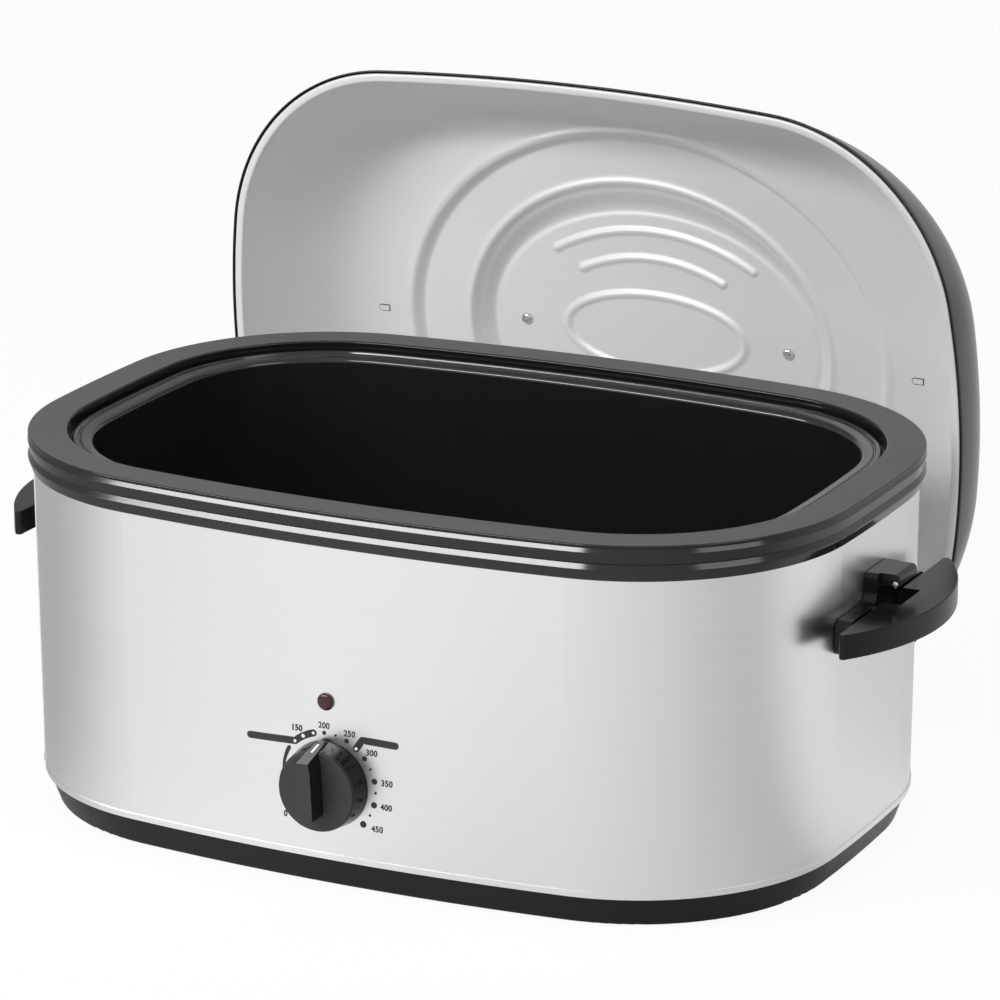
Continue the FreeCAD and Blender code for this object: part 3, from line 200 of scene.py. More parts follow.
# %% Finish of the wall
brushed_steel = Finish("brushed_steel", (0.8, 0.8, 0.8), 0.3, 1.0, {"Anisotropic": 0.5})
grooves = brushed_steel.noise(size=1, detail=3, scale=(1.2, 1.2, 900))
hairs = brushed_steel.noise(size=1, detail=2, scale=(14, 14, 2600))
sheet_tone = brushed_steel.noise(size=1, detail=1, scale=(1.5, 1.5, 6))
grain = grooves * 0.5 + hairs * 0.5
brushed_steel.feed("Base Color", brushed_steel.between((0.78, 0.78, 0.785), (0.86, 0.86, 0.865), grain))
brushed_steel.feed("Roughness", grain * 0.1 + sheet_tone * 0.05 + 0.24)
brushed_steel.bump(grain, depth=0.00002, strength=0.3)
brushed_steel.give("front_wrap", "rear_wrap")

# %% [markdown]
# ## Painted steel
# Black surfaces differ in their gloss far more than in their colour. The collar is painted steel: satin on its flat
# top, where the lid rubs it, and glossy down its side. The flat top is also painted lighter than the side: a painted
# sheen for the light that it catches from above. Two materials would need a cut between them, so one material has a
# mask instead: only the flat top faces straight up.

# %% Finish of the collar
STRAIGHT_UP = 0.9995
collar_paint = Finish("collar_paint", (0.02, 0.02, 0.021), 0.14, plain={"Specular IOR Level": 0.45})
flat_top = collar_paint.facing("Z").over(STRAIGHT_UP)
speck = collar_paint.noise(size=900, detail=3)
# The flat top's lighter base colour is a painted sheen; its satin roughness below is the paint's own.
collar_paint.feed("Base Color", collar_paint.between((0.005, 0.005, 0.006), (0.095, 0.095, 0.096),
                                                     flat_top * 0.9 + speck * 0.1))
collar_paint.feed("Roughness", flat_top * 0.42 + speck * 0.05 + 0.1)
collar_paint.bump(speck, depth=0.00002, strength=0.3)
collar_paint.give("collar_ring")

# %% [markdown]
# ## Dark enamel
# The pan is steel under dark enamel. Enamel is glass, so it is smooth and glossy, but it was once liquid: it keeps a
# faint ripple as wide as a finger, and fine flecks of a lighter black. One noise each does for both.

# %% Finish of the pan
pan_enamel = Finish("pan_enamel", (0.008, 0.008, 0.009), 0.1, plain={"Specular IOR Level": 0.6})
ripple = pan_enamel.noise(size=60, detail=2)
fleck = pan_enamel.noise(size=1400, detail=1)
pan_enamel.feed("Base Color", pan_enamel.between((0.005, 0.005, 0.006), (0.014, 0.014, 0.016), fleck))
pan_enamel.feed("Roughness", ripple * 0.08 + 0.09)
pan_enamel.bump(ripple + fleck * 0.05, depth=0.0001, strength=0.3)
pan_enamel.give("roasting_pan")

# %% [markdown]
# ## Moulded plastic
# The base and the handles are black mouldings. They have a fine grain from the mould, and hands wear them in soft
# patches. They differ in colour, roughness and shine alone, so one function makes them all, with a fine noise for the
# grain and a coarse one for the wear.

# %% Finishes of the mouldings
def moulding(name, color, roughness, *names, shine=0.5):
    finish = Finish(name, color, roughness, plain={"Specular IOR Level": shine})
    grain = finish.noise(size=1500, detail=3)
    wear = finish.noise(size=14, detail=2)
    lighter = tuple(min(1, c * 1.5 + 0.004) for c in color)
    finish.feed("Base Color", finish.between(color, lighter, grain * 0.6 + wear * 0.4))
    finish.feed("Roughness", grain * 0.08 + wear * 0.08 + (roughness - 0.08))
    finish.bump(grain, depth=0.00004, strength=0.35)
    finish.give(*names)
    return finish

handle_moulding = moulding("handle_moulding", (0.006, 0.006, 0.007), 0.2, "right_handle_grip", "left_handle_grip",
                           "lid_handle", "lid_washers", shine=0.2)
bracket_moulding = moulding("bracket_moulding", (0.004, 0.004, 0.005), 0.12, "right_handle_bracket",
                            "left_handle_bracket", shine=0.3)
moulding("base_moulding", (0.008, 0.008, 0.009), 0.36, "base_skirt", "cord_bushing", shine=0.14)
moulding("foot_rubber", (0.03, 0.03, 0.03), 0.8, "rubber_feet")

# %% [markdown]
# ## The knob
# The knob's face and the slopes of its grip bar are satin, as moulds are often etched there, and its wall is polished.
# They are also painted lighter than the wall: a painted sheen for the light that they catch from the front.
# The mask is the collar's idea turned to the front, which is minus Y.

# %% Finish of the knob
TOWARDS_FRONT = 0.2
knob_moulding = Finish("knob_moulding", (0.005, 0.005, 0.005), 0.2, plain={"Specular IOR Level": 0.15})
knob_face = (knob_moulding.facing("Y") * -1).over(TOWARDS_FRONT)
knob_grain = knob_moulding.noise(size=1300, detail=3)
knob_wear = knob_moulding.noise(size=20, detail=2)
# The lighter colour of the forward faces is a painted sheen; their satin roughness is the moulding's own.
knob_moulding.feed("Base Color", knob_moulding.between((0.005, 0.005, 0.005), (0.05, 0.05, 0.05),
                                                       knob_face * 0.85 + knob_grain * 0.1 + knob_wear * 0.05))
knob_moulding.feed("Roughness", knob_face * 0.16 + knob_grain * 0.05 + 0.18)
knob_moulding.bump(knob_grain * knob_face, depth=0.00003, strength=0.3)
knob_moulding.give("control_knob")

# %% [markdown]
# ## The lamp's lens
# The lens is a small dome of dark red plastic. Light that enters it at the top leaves it low down, where it looks
# pink. Light inside a clear shader is slow to render, so the colour turns pink where the dome faces well down.

# %% Finish of the lens
lamp_red = Finish("lamp_red", (0.04, 0.005, 0.009), 0.1)
lens_low = -1.6 - lamp_red.facing("Z") * 3.0
lens_haze = lamp_red.noise(size=300, detail=2)
lamp_red.feed("Base Color", lamp_red.between((0.035, 0.005, 0.009), (0.6, 0.12, 0.17), lens_low))
lamp_red.feed("Roughness", lens_haze * 0.1 + 0.1)
lamp_red.give("lamp_lens")

# %% [markdown]
# ## Print, the lid's cover and the works inside
# The dial's ink and white paint, the enamel of the lid's cover and the dark sheets that paint the shade in the lid's
# vents need no more than the moulding's grain and wear, each in its own colour. The same goes for most pieces that the
# wall hides.

# %% Finishes of print, cover and works
mark_paint = moulding("mark_paint", (0.8, 0.8, 0.8), 0.5, "knob_mark")
print_ink = moulding("print_ink", (0.012, 0.012, 0.013), 0.45)
# The vents' dark is painted shade, standing in for the shaded opening round each tongue.
vent_painted_shade = moulding("vent_painted_shade", (0.02, 0.02, 0.02), 0.5)
cover_enamel = moulding("cover_enamel", (0.014, 0.014, 0.015), 0.16, "lid_cover")
moulding("pale_plastic", (0.7, 0.68, 0.62), 0.5, "lamp_holder", "terminal_block", "thermostat_case")
for name, color, roughness, hidden in (
        ("lamp_glass", (0.8, 0.5, 0.4), 0.1, "neon_lamp"), ("lead_sleeve", (0.7, 0.7, 0.66), 0.8, "feed_lead"),
        ("glass_wool", (0.75, 0.66, 0.38), 0.95, "insulation_wrap"),
        ("heater_tape", (0.5, 0.46, 0.38), 0.9, "heater_band"),
        ("well_coating", (0.1, 0.1, 0.105), 0.5, "heating_well")):
    moulding(name, color, roughness, hidden)

# %% [markdown]
# ## Plain metal
# The base plate, the shield and the brackets are plain rolled sheet, and the screws are bright. Both are bare metal:
# a cloudy noise shades the colour, as on sheet that was rolled and oiled, and a fine one roughens it.

# %% Finishes of plain metal
def sheet_metal(name, color, roughness, *names):
    finish = Finish(name, color, roughness, 1.0)
    cloud = finish.noise(size=45, detail=3)
    fine = finish.noise(size=900, detail=2)
    finish.feed("Base Color", finish.between(tuple(c * 0.86 for c in color), color, cloud))
    finish.feed("Roughness", cloud * 0.12 + fine * 0.06 + (roughness - 0.08))
    finish.bump(fine, depth=0.00003, strength=0.3)
    finish.give(*names)
    return finish

sheet_metal("plain_sheet", (0.62, 0.63, 0.64), 0.4, "base_plate", "bottom_shield", "support_posts",
            "thermostat_bracket", "control_shaft")
bright_screw = sheet_metal("bright_screw", (0.7, 0.7, 0.71), 0.12, "base_screws", "handle_screws", "lid_screws")

# %% [markdown]
# ## The lid's liner
# The inside of the lid is a pale satin sheet. It is nearly matt, so only a little of it is metallic, and a soft level
# variation keeps it from looking like paper.

# %% Finish of the liner
liner_satin = Finish("liner_satin", (0.74, 0.74, 0.74), 0.42, 0.15)
soft_cloud = liner_satin.noise(size=9, detail=2)
fine_grain = liner_satin.noise(size=1100, detail=3)
liner_satin.feed("Base Color", liner_satin.between((0.69, 0.69, 0.69), (0.76, 0.76, 0.76),
                                                   soft_cloud * 0.6 + fine_grain * 0.4))
liner_satin.feed("Roughness", fine_grain * 0.08 + soft_cloud * 0.06 + 0.34)
liner_satin.bump(fine_grain, depth=0.00003, strength=0.25)
liner_satin.give("lid_liner")

# %% [markdown]
# ## Helpers for shaping
# Blender's operators act on whatever is selected, so `only` selects just the pieces that it is given, or none, and
# makes the last one active. `cleaned` merges doubled points and turns all faces outwards. `finished` is the last
# step of every piece: it shades faces that meet at a small angle as one smooth surface, and `flats` keeps large
# flat faces flat beside their rounded edges.

# %% Selecting, modifying and finishing
MERGE = 1e-6

def only(*pieces):
    bpy.ops.object.select_all(action="DESELECT")
    for piece in pieces:
        piece.select_set(True)
        bpy.context.view_layer.objects.active = piece

def modified(piece, kind, **settings):
    only(piece)
    modifier = piece.modifiers.new(kind.lower(), kind)
    for name, setting in settings.items():
        setattr(modifier, name, setting)
    bpy.ops.object.modifier_apply(modifier=modifier.name)

def cleaned(piece):
    only(piece)
    bpy.ops.object.mode_set(mode="EDIT")
    bpy.ops.mesh.select_all(action="SELECT")
    bpy.ops.mesh.remove_doubles(threshold=MERGE)
    bpy.ops.mesh.normals_make_consistent(inside=False)
    bpy.ops.object.mode_set(mode="OBJECT")
    return piece

def finished(piece, finish, body, slot, *stands_for, sharp=35, flats=False):
    """Shade the piece, give it its finish and tell the frame what it rides on and replaces."""
    only(piece)
    bpy.ops.object.shade_smooth_by_angle(angle=math.radians(sharp))
    if flats:
        modified(piece, "WEIGHTED_NORMAL", keep_sharp=True, weight=100)
    piece.data.materials.clear()
    piece.data.materials.append(finish.material)
    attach(piece, body)
    if stands_for:
        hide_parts(*stands_for)
    print(piece.name, len(piece.data.vertices), "points")

# %% [markdown]
# ## Rings made into a skin
# Pressed and turned sheet metal is easy to describe as rings stacked like the hoops of a barrel, since each ring can
# have its own outline and height. Blender's grid is already a net of rows and columns, so `skin` bends a grid: each
# row becomes one ring, and its two ends are merged.

# %% Skinning
def skin(name, rings):
    """Bend a grid so that each of its rows is one ring of points, given in millimetres."""
    around = len(rings[0])
    only()
    bpy.ops.mesh.primitive_grid_add(x_subdivisions=around, y_subdivisions=len(rings) - 1, size=1)
    piece = bpy.context.object
    piece.name = piece.data.name = name
    flat = []
    for ring in rings:
        for x, y, z in ring + ring[:1]:
            flat += (x * MM, y * MM, z * MM)
    piece.data.vertices.foreach_set("co", flat)
    return cleaned(piece)

# %% [markdown]
# ## The plan of the oven
# The wall, the collar and the lid all have the same kind of plan: eight arcs, each tangent to the next, with long flat
# arcs at the sides and tight ones at the corners. `plan_arcs` works the arcs out from half the length, half the depth
# and the radii of the front, the ends and the corners. `plan_ring` walks round them with a fixed number of points on
# each arc, so that the rings of two different plans match point for point.

# %% Walking round a plan
def plan_arcs(length, depth, front, end, corner):
    """Eight arcs, each as the x and y of its centre, its radius and the angles where it starts and stops."""
    front_y, end_x = depth - front, length - end
    span = math.hypot(front_y, end_x)
    along = ((front - corner) ** 2 - (end - corner) ** 2 + span ** 2) / (2 * span)
    across = math.sqrt((front - corner) ** 2 - along ** 2)
    unit_x, unit_y = end_x / span, -front_y / span
    x, y = along * unit_x + across * unit_y, front_y + along * unit_y - across * unit_x
    if x + y < 0:
        x, y = along * unit_x - across * unit_y, front_y + along * unit_y + across * unit_x
    low, high, turn = math.atan2(y, x - end_x), math.atan2(y - front_y, x), math.pi
    return [(end_x, 0, end, -low, low), (x, y, corner, low, high), (0, front_y, front, high, turn - high),
            (-x, y, corner, turn - high, turn - low), (-end_x, 0, end, turn - low, turn + low),
            (-x, -y, corner, turn + low, turn + high), (0, -front_y, front, turn + high, 2 * turn - high),
            (x, -y, corner, 2 * turn - high, 2 * turn - low)]

def plan_ring(plan, grow, z, counts):
    """Points round a plan that has grown outwards by a distance, all at one height."""
    ring = []
    for (x, y, radius, start, stop), count in zip(plan_arcs(*plan), counts):
        for step in range(count):
            angle = start + (stop - start) * step / count
            ring.append((x + (radius + grow) * math.cos(angle), y + (radius + grow) * math.sin(angle), z))
    return ring

BODY_PLAN = (260, 182.5, 1270, 1300, 131)
LID_PLAN = (270.9, 197.5, 1937, 532, 134)
BODY_COUNTS = (24, 40, 44, 40, 24, 40, 44, 40)
LID_COUNTS = (40, 60, 60, 60, 40, 60, 60, 60)
print("points round the lid:", sum(LID_COUNTS))

# %% [markdown]
# ## Sections carried round the plan
# A rolled edge has the same section all the way round. The section is written once as a closed line of corners,
# distance outwards and height, each with its own radius. `rounded` turns the corners into short arcs, and `hoop`
# makes every point of the line one ring of the plan.

# %% Rounding a section
def rounded(corners, steps):
    """A closed line through (out, height, radius) corners, with each corner turned into a short arc."""
    line = []
    for index, (x, y, radius) in enumerate(corners):
        here = Vector((x, y))
        if radius == 0:
            line.append((x, y))
            continue
        before = (Vector(corners[index - 1][:2]) - here).normalized()
        after = (Vector(corners[(index + 1) % len(corners)][:2]) - here).normalized()
        half = before.angle(after) / 2
        cut = radius / math.tan(half)
        middle = here + (before + after).normalized() * radius / math.sin(half)
        start, stop = here + before * cut - middle, here + after * cut - middle
        for step in range(steps + 1):
            share = step / steps
            spoke = (start * (1 - share) + stop * share).normalized() * radius
            line.append(tuple(middle + spoke))
    return line

def hoop(name, section, plan, counts):
    """A closed section carried round a plan; the section's first number is the distance outside the plan."""
    return skin(name, [plan_ring(plan, out, height, counts) for out, height in section + section[:1]])

# %% [markdown]
# ## The collar
# A rolled collar sits on the wall and carries the pan. Its side is not plain: it is rolled twice, one bead above the
# other, and each bead catches its own line of light.

# %% Model the collar
COLLAR = [(0.55, 210.7, 0), (1.6, 210.7, 0.3), (3.4, 215.9, 0.8), (3.7, 217.2, 0.5), (1.8, 220.3, 0.3),
          (2.3, 221.0, 0.4), (2.9, 224.0, 1.5), (3.6, 227.1, 0.4), (2.1, 229.6, 0.3), (2.3, 230.1, 0.2),
          (3.3, 230.8, 0.4), (3.4, 232, 0.8), (-20.5, 232, 1.2), (-20.5, 222.5, 0.5), (-28, 222.5, 0.3),
          (-28, 221, 0.3), (-18.7, 221, 0.5), (-18.7, 230.4, 0.5), (0.35, 230.4, 0.2), (0.35, 218.7, 0)]
collar = hoop("collar", rounded(COLLAR, steps=5), BODY_PLAN, BODY_COUNTS)

# %% [markdown]
# ## The roasting pan
# The pan hangs by its edge: a rolled bead that rests on the collar's ledge, a sloped shoulder inside it, and a lip
# that turns down into the wall. It is drawn as one line from the middle of the floor, up and over the edge, and back
# under the floor to the middle, so the sheet is closed. The lip is a wide, soft bend, because enamel chips off a
# sharp one.

# %% Model the pan
PAN_LINE = rounded([
    (-110, 61.2, 0), (-48.2, 61.2, 28), (-36.0, 224.9, 3.6), (-28.6, 226.2, 1.2), (-27.3, 225.2, 0.5),
    (-26.4, 227.0, 0.9), (-23, 226.9, 1.6), (-23, 222.6, 0.7), (-26, 222.6, 0), (-26, 224.2, 0.6),
    (-34.2, 224.0, 1.2), (-47.0, 60.0, 29), (-110, 60, 0)], steps=7)
FLOOR_SHARES = (0, 0.4, 0.75)

def shrunk(ring, share):
    """A ring drawn in towards the middle of the floor."""
    return [(x * share, y * share, z) for x, y, z in ring]

pan_rings = [plan_ring(BODY_PLAN, out, height, BODY_COUNTS) for out, height in PAN_LINE]
pan = skin("pan_enamelled", [shrunk(pan_rings[0], share) for share in FLOOR_SHARES] + pan_rings
           + [shrunk(pan_rings[-1], share) for share in FLOOR_SHARES[::-1]])

# %% [markdown]
# ## The lid's two skins
# The lid is drawn from two sheets: a pale liner, and a black cover over it. Both follow one form. From the rim it
# rises and leans in as a superellipse, so it ends level at the crown, and two oval steps lead up to the plate that
# carries the handle. `lid_wall` gives the plan and height at one level of that curve, `oval_gap` is the distance from
# an oval, and `crown_height` adds the steps. The first oval is the edge of the first step, and the second step climbs
# between the other two. Each step has soft grooves and beads beside it, its lips, which the pressing tool leaves.
# The first groove fades on one side, as the real one does.

# %% The form of the dome
DOME_POWER, CROWN, END_LEAN, SIDE_LEAN = 2.3, 82, (60, 0.06), (12, 0.45)
OVALS = ((182, 146), (139, 111), (127, 89))
FIRST_RISE, FIRST_RUN, SECOND_RISE = 5.6, 6, 11.2
LIPS = ((0, -1.5, 1.5, 2.3), (1, -1.5, 1.2, 2.3), (1, 1.2, -3.5, 2.2))
FADE, FADE_START, FADE_LENGTH, FADE_DEPTH = 0.7, 0.2, 60, 40
PLATE_LIP, PLATE_LIP_OUT, PLATE_LIP_IN = 1.0, 8, 3

def soft(share):
    share = max(0.0, min(1.0, share))
    return share * share * (3 - 2 * share)

def lid_wall(level, inset):
    """The plan and the height of the dome at a level from 0 at the rim to 1 at the crown."""
    bow = 1 - max(0.0, 1 - level ** DOME_POWER) ** (1 / DOME_POWER)
    along = END_LEAN[0] * bow + END_LEAN[1] * level * CROWN + inset
    deep = SIDE_LEAN[0] * bow + SIDE_LEAN[1] * level * CROWN + inset
    length, depth, front, end, corner = LID_PLAN
    return (length - along, depth - deep, front - along, end - along, corner - along / 2), level * (CROWN - inset)

def oval_gap(x, y, half_x, half_y):
    """How far a point lies outside an oval, in millimetres, and inside it as a negative number."""
    reach = math.hypot(x / half_x, y / half_y)
    slope = math.hypot(x / half_x ** 2, y / half_y ** 2)
    return (reach - 1) * reach / slope if slope > 1e-9 else -half_y

def crown_height(x, y, inset, lips):
    """What the oval steps add to the level crown. A lip is (which oval, its rise, how far outside it, half width)."""
    gaps = [oval_gap(x, y, half_x - inset, half_y - inset) for half_x, half_y in OVALS]
    height = FIRST_RISE * soft(-gaps[0] / FIRST_RUN)
    if gaps[1] < 0:
        height += SECOND_RISE * (soft(gaps[1] / (gaps[1] - gaps[2])) if gaps[2] > 0 else 1)
    if lips:
        faded = 1 - FADE * soft(x / FADE_LENGTH + FADE_START) * soft(-y / FADE_DEPTH)
        for oval, rise, place, half in LIPS:
            height += rise * (faded if oval == 0 else 1) * math.exp(-((gaps[oval] - place) / half) ** 2)
        height += PLATE_LIP * soft(gaps[2] / PLATE_LIP_IN + 1) * soft(-gaps[1] / PLATE_LIP_OUT)
    return height

# %% [markdown]
# ## The ribs
# Two curved ribs and an oval one stiffen the plate. They are part of the liner's height, so they are pressed out of
# the sheet as the real ones are, and not laid on it. A point's height follows from how near it is to the nearest
# rib's middle line. An arc is (middle x, middle y, radius, left end, right end).

# %% The ribs of the liner
RIB_ARCS = ((1, 78.8, 150.6, -73, 75), (0, 69.8, 122.8, -54, 52))
RIB_OVAL, RIB_HALF, RIB_RISE, RIB_STEEP = (67, 27, -0.9), 2.9, 2.0, 1.25
RIB_REACH, RIB_LOW, RIB_HIGH = 82, -80, 32

def rib_height(x, y):
    """How far the ribs stand out at a point of the plate."""
    near = abs(oval_gap(x, y - RIB_OVAL[2], *RIB_OVAL[:2]))
    for middle_x, middle_y, radius, left, right in RIB_ARCS:
        angle = math.atan2(x - middle_x, middle_y - y)
        low, high = (math.asin((end - middle_x) / radius) for end in (left, right))
        held = max(low, min(high, angle))
        spot = (middle_x + radius * math.sin(held), middle_y - radius * math.cos(held))
        near = min(near, math.hypot(x - spot[0], y - spot[1]))
    return RIB_RISE * math.sqrt(soft(RIB_STEEP * (1 - near / RIB_HALF)))

# %% [markdown]
# ## From the form to rings
# `dome_rings` walks over one face of a sheet, inset from the outside by some millimetres: up the wall, over the ovals
# and in to the middle of the plate. A point keeps its direction from one oval to the next, so the rings never cross.
# Steps on the wall are closest near the crown, where it bends most.

# %% One face of the lid
def dome_rings(inset, wall_steps, crown_steps, plate_steps, lips=False, ribs=False):
    """Rings from the rim to the middle of the crown."""
    def lifted(ring, base):
        made = []
        for x, y, z in ring:
            z = base + crown_height(x, y, inset, lips)
            if ribs and abs(x) < RIB_REACH and RIB_LOW < y < RIB_HIGH:
                z -= rib_height(x, y)
            made.append((x, y, z))
        return made
    rings = []
    for step in range(1, wall_steps + 1):
        level = math.sin(math.pi / 2 * step / wall_steps) ** (2 / DOME_POWER)
        plan, height = lid_wall(level, inset)
        rings.append(lifted(plan_ring(plan, 0, 0, LID_COUNTS), height))
    rim_plan = lid_wall(1, inset)[0]
    rim, (half_x, half_y) = plan_ring(rim_plan, 0, 0, LID_COUNTS), rim_plan[:2]
    turns = [math.atan2(y / half_y, x / half_x) for x, y, z in rim]
    ovals = [[((a - inset) * math.cos(t), (b - inset) * math.sin(t), 0) for t in turns] for a, b in OVALS]
    for first, second, steps in ((rim, ovals[0], crown_steps // 3), (ovals[0], ovals[1], crown_steps),
                                 (ovals[1], ovals[2], crown_steps // 2)):
        for step in range(1, steps + 1):
            share = step / steps
            mixed = [(p[0] * (1 - share) + q[0] * share, p[1] * (1 - share) + q[1] * share, 0)
                     for p, q in zip(first, second)]
            rings.append(lifted(mixed, CROWN - inset))
    for step in range(1, plate_steps + 1):
        share = 1 - step / plate_steps
        rings.append(lifted([(x * share, y * share, 0) for x, y, z in ovals[2]], CROWN - inset))
    return rings

# %% [markdown]
# ## The liner
# The liner is one closed surface: it starts on the back of the sheet at the middle, runs out to the rim, turns round
# the rolled bead and comes back along the front to the middle. The front shows, so it has the closer rings. The lid
# stands on its edge behind the oven, so the finished mesh is turned and moved into that place.

# %% Model the liner
LID_PLACE = Matrix.Translation(Vector((-44.6, 246.7, 197.3)) * MM) @ (
    Matrix.Rotation(math.radians(-4.6), 4, "Z") @ Matrix.Rotation(math.radians(-0.7), 4, "Y")
    @ Matrix.Rotation(math.radians(4.1 - 90), 4, "X"))

LINER_BACK, LINER_FRONT = 3.0, 3.8
BEAD = [(-2.9, 0.8), (-2.3, 0.5), (-2.2, -0.3), (-2.4, -0.9), (-3.0, -1.3), (-4.0, -1.4), (-5.9, -1.4), (-6.9, -1.3),
        (-7.5, -0.9), (-7.7, -0.3), (-7.6, 0.5), (-7.1, 0.9), (-5.6, 1.0), (-4.4, 1.5), (-3.9, 2.6)]
back_rings = dome_rings(LINER_BACK, wall_steps=14, crown_steps=12, plate_steps=14, lips=True)
front_rings = dome_rings(LINER_FRONT, wall_steps=30, crown_steps=30, plate_steps=66, lips=True, ribs=True)
bead_rings = [plan_ring(LID_PLAN, out, height, LID_COUNTS) for out, height in BEAD]
liner = skin("lid_liner_pressed", back_rings[::-1] + bead_rings + front_rings)
liner.data.transform(LID_PLACE)

# %% [markdown]
# ## The cover
# The cover is the black sheet on the outside. It is made as the liner is, from an outer and an inner face, and joined
# by a small lip at the rim. The steps show through as plain forms, so it has no grooves and no ribs.

# %% Model the cover
COVER_OUTSIDE, COVER_INSIDE = 0.2, 1.0
COVER_LIP = ((-1.0, 0.5), (-1.0, -1.1), (-0.8, -1.3), (-0.4, -1.3), (-0.2, -1.1), (-0.2, 0.5))
outer_rings = dome_rings(COVER_OUTSIDE, wall_steps=26, crown_steps=18, plate_steps=14)
inner_rings = dome_rings(COVER_INSIDE, wall_steps=22, crown_steps=14, plate_steps=12)
lip_rings = [plan_ring(LID_PLAN, out, height, LID_COUNTS) for out, height in COVER_LIP]
cover = skin("lid_cover_pressed", inner_rings[::-1] + lip_rings + outer_rings)
cover.data.transform(LID_PLACE)

# %% [markdown]
# ## Screws with a cross
# The lid's handle is held by two bright screws whose low domes show inside the lid, and one more sits in the hook of
# a handle. The dome is turned from a short profile, and a cross of two small blocks is cut out of it with a Boolean.

# %% Model the screws
TURNED_POINTS = 40

def turned(name, profile):
    """A round form from (radius, height) points."""
    turns = [math.tau * k / TURNED_POINTS for k in range(TURNED_POINTS)]
    rings = [[(r * math.cos(turn), r * math.sin(turn), z) for turn in turns] for r, z in profile]
    return skin(name, rings)

def cross_screw(name, radius, height, shank, place):
    """A screw whose dome has a cross cut into it, moved to its place."""
    screw = turned(name, [(0, -shank), (radius * 0.5, -shank), (radius * 0.52, -0.1), (radius * 0.94, -0.1),
                          (radius, 0.15), (radius, height * 0.3), (radius * 0.93, height * 0.55),
                          (radius * 0.72, height * 0.83), (radius * 0.4, height * 0.97), (0, height)])
    for arm in (0, 90):
        only()
        bpy.ops.mesh.primitive_cube_add(size=MM)
        cutter = bpy.context.object
        cutter.data.transform(Matrix.Translation((0, 0, height * MM)) @ Matrix.Rotation(math.radians(arm), 4, "Z")
                              @ Matrix.Diagonal((radius * 1.3, radius * 0.3, height * 1.1, 1)))
        modified(screw, "BOOLEAN", object=cutter, operation="DIFFERENCE", solver="EXACT")
        bpy.data.objects.remove(cutter)
    screw.data.transform(place)
    return cleaned(screw)

flip = Matrix.Rotation(math.pi, 4, "X")
lid_screw_pair = []
for name, x, twist in (("lid_screw_left", -98.8, 20), ("lid_screw_right", 98.8, 55)):
    seat = Matrix.Translation(Vector((x, 0, 94.9)) * MM) @ flip @ Matrix.Rotation(math.radians(twist), 4, "Z")
    lid_screw_pair.append(cross_screw(name, radius=3.9, height=2.4, shank=16, place=LID_PLACE @ seat))
lean = Matrix.Translation(Vector((277.5, -13.0, 178.3)) * MM) @ Matrix.Rotation(math.radians(90), 4, "X")
hook_screw = cross_screw("hook_screw", radius=1.8, height=0.7, shank=3, place=lean)

# %% [markdown]
# ## The lid's vents
# Near each end of the crown the liner has a small tongue pressed out of it, shaped like a bullet. It is modelled as
# a flat curve, filled and given a thickness, with a slightly larger dark sheet behind it, painted shade for the
# opening round the tongue.

# %% Flat shapes and the vents
def flat_shape(name, outline, thickness):
    """A closed outline in millimetres, filled and thickened, as a mesh that lies on Z = 0."""
    curve = bpy.data.curves.new(name, "CURVE")
    curve.dimensions, curve.fill_mode, curve.extrude = "2D", "BOTH", thickness * MM / 2
    line = curve.splines.new("POLY")
    line.points.add(len(outline) - 1)
    for point, (x, y) in zip(line.points, outline):
        point.co = (x * MM, y * MM, 0, 1)
    line.use_cyclic_u = True
    shape = bpy.data.objects.new(name, curve)
    bpy.context.scene.collection.objects.link(shape)
    only(shape)
    bpy.ops.object.convert(target="MESH")
    shape = bpy.context.object
    shape.data.transform(Matrix.Translation((0, 0, thickness * MM / 2)))
    return cleaned(shape)

def bullet(length, half):
    """A round-nosed outline along X, its nose towards minus X."""
    tip = [(-length / 2 + half - half * math.cos(a), half * math.sin(a)) for a in
           (math.radians(d) for d in range(90, -91, -15))]
    return [(length / 2, half)] + tip + [(length / 2, -half)]

vent_shade_sheets, vent_tongues = [], []
for name, x in (("left", -201), ("right", 201)):
    spot = LID_PLACE @ Matrix.Translation(Vector((x, 0, 78.3)) * MM) @ flip
    # Each slot is a dark sheet: painted shade for the opening round the tongue.
    for kind, length, half, thick, kept in (
            ("slot", 8.6, 2.3, 0.3, vent_shade_sheets), ("tongue", 7.4, 1.7, 0.8, vent_tongues)):
        piece = flat_shape("vent_%s_%s" % (kind, name), bullet(length, half), thick)
        piece.data.transform(spot)
        kept.append(piece)

# %% [markdown]
# ## The dial
# The dial is printed on the wall in black. Print has almost no thickness, so each mark is a flat shape a tenth of a
# millimetre thick, laid on the arc of the wall. The wall is a little wider at its top, so `wall_front` takes the
# height too. Places on the dial are polar: an angle clockwise from the top, and a radius. `stroke` draws a line with
# its own half width at each point.

# %% Lay shapes on the wall
DIAL_X, DIAL_Z, DIAL_RADIUS = -5.4, 66, 31.3
WALL_TAPER, WALL_TOP, WALL_HEIGHT = 2.1, 230.2, 210.7
INK_THICKNESS, INK_LIFT, PAINT_LIFT = 0.1, 0.02, 0.12
DISC_POINTS, CAP_STEPS = 32, 10

def wall_front(x, z):
    """Y of the wall's face, in metres, at a point given in metres."""
    half_depth, front = BODY_PLAN[1:3]
    taper = WALL_TAPER * (WALL_TOP - z / MM) / WALL_HEIGHT
    return (front - half_depth - math.sqrt((front - taper) ** 2 - (x / MM) ** 2)) * MM

def laid(shape, x, z, lift=INK_LIFT):
    """Stand a flat shape up on the wall: its X stays, its Y becomes height, its Z comes out of the wall."""
    for vertex in shape.data.vertices:
        across, upwards, out = vertex.co
        across, upwards = across + x * MM, upwards + z * MM
        vertex.co = (across, wall_front(across, upwards) - out - lift * MM, upwards)
    return cleaned(shape)

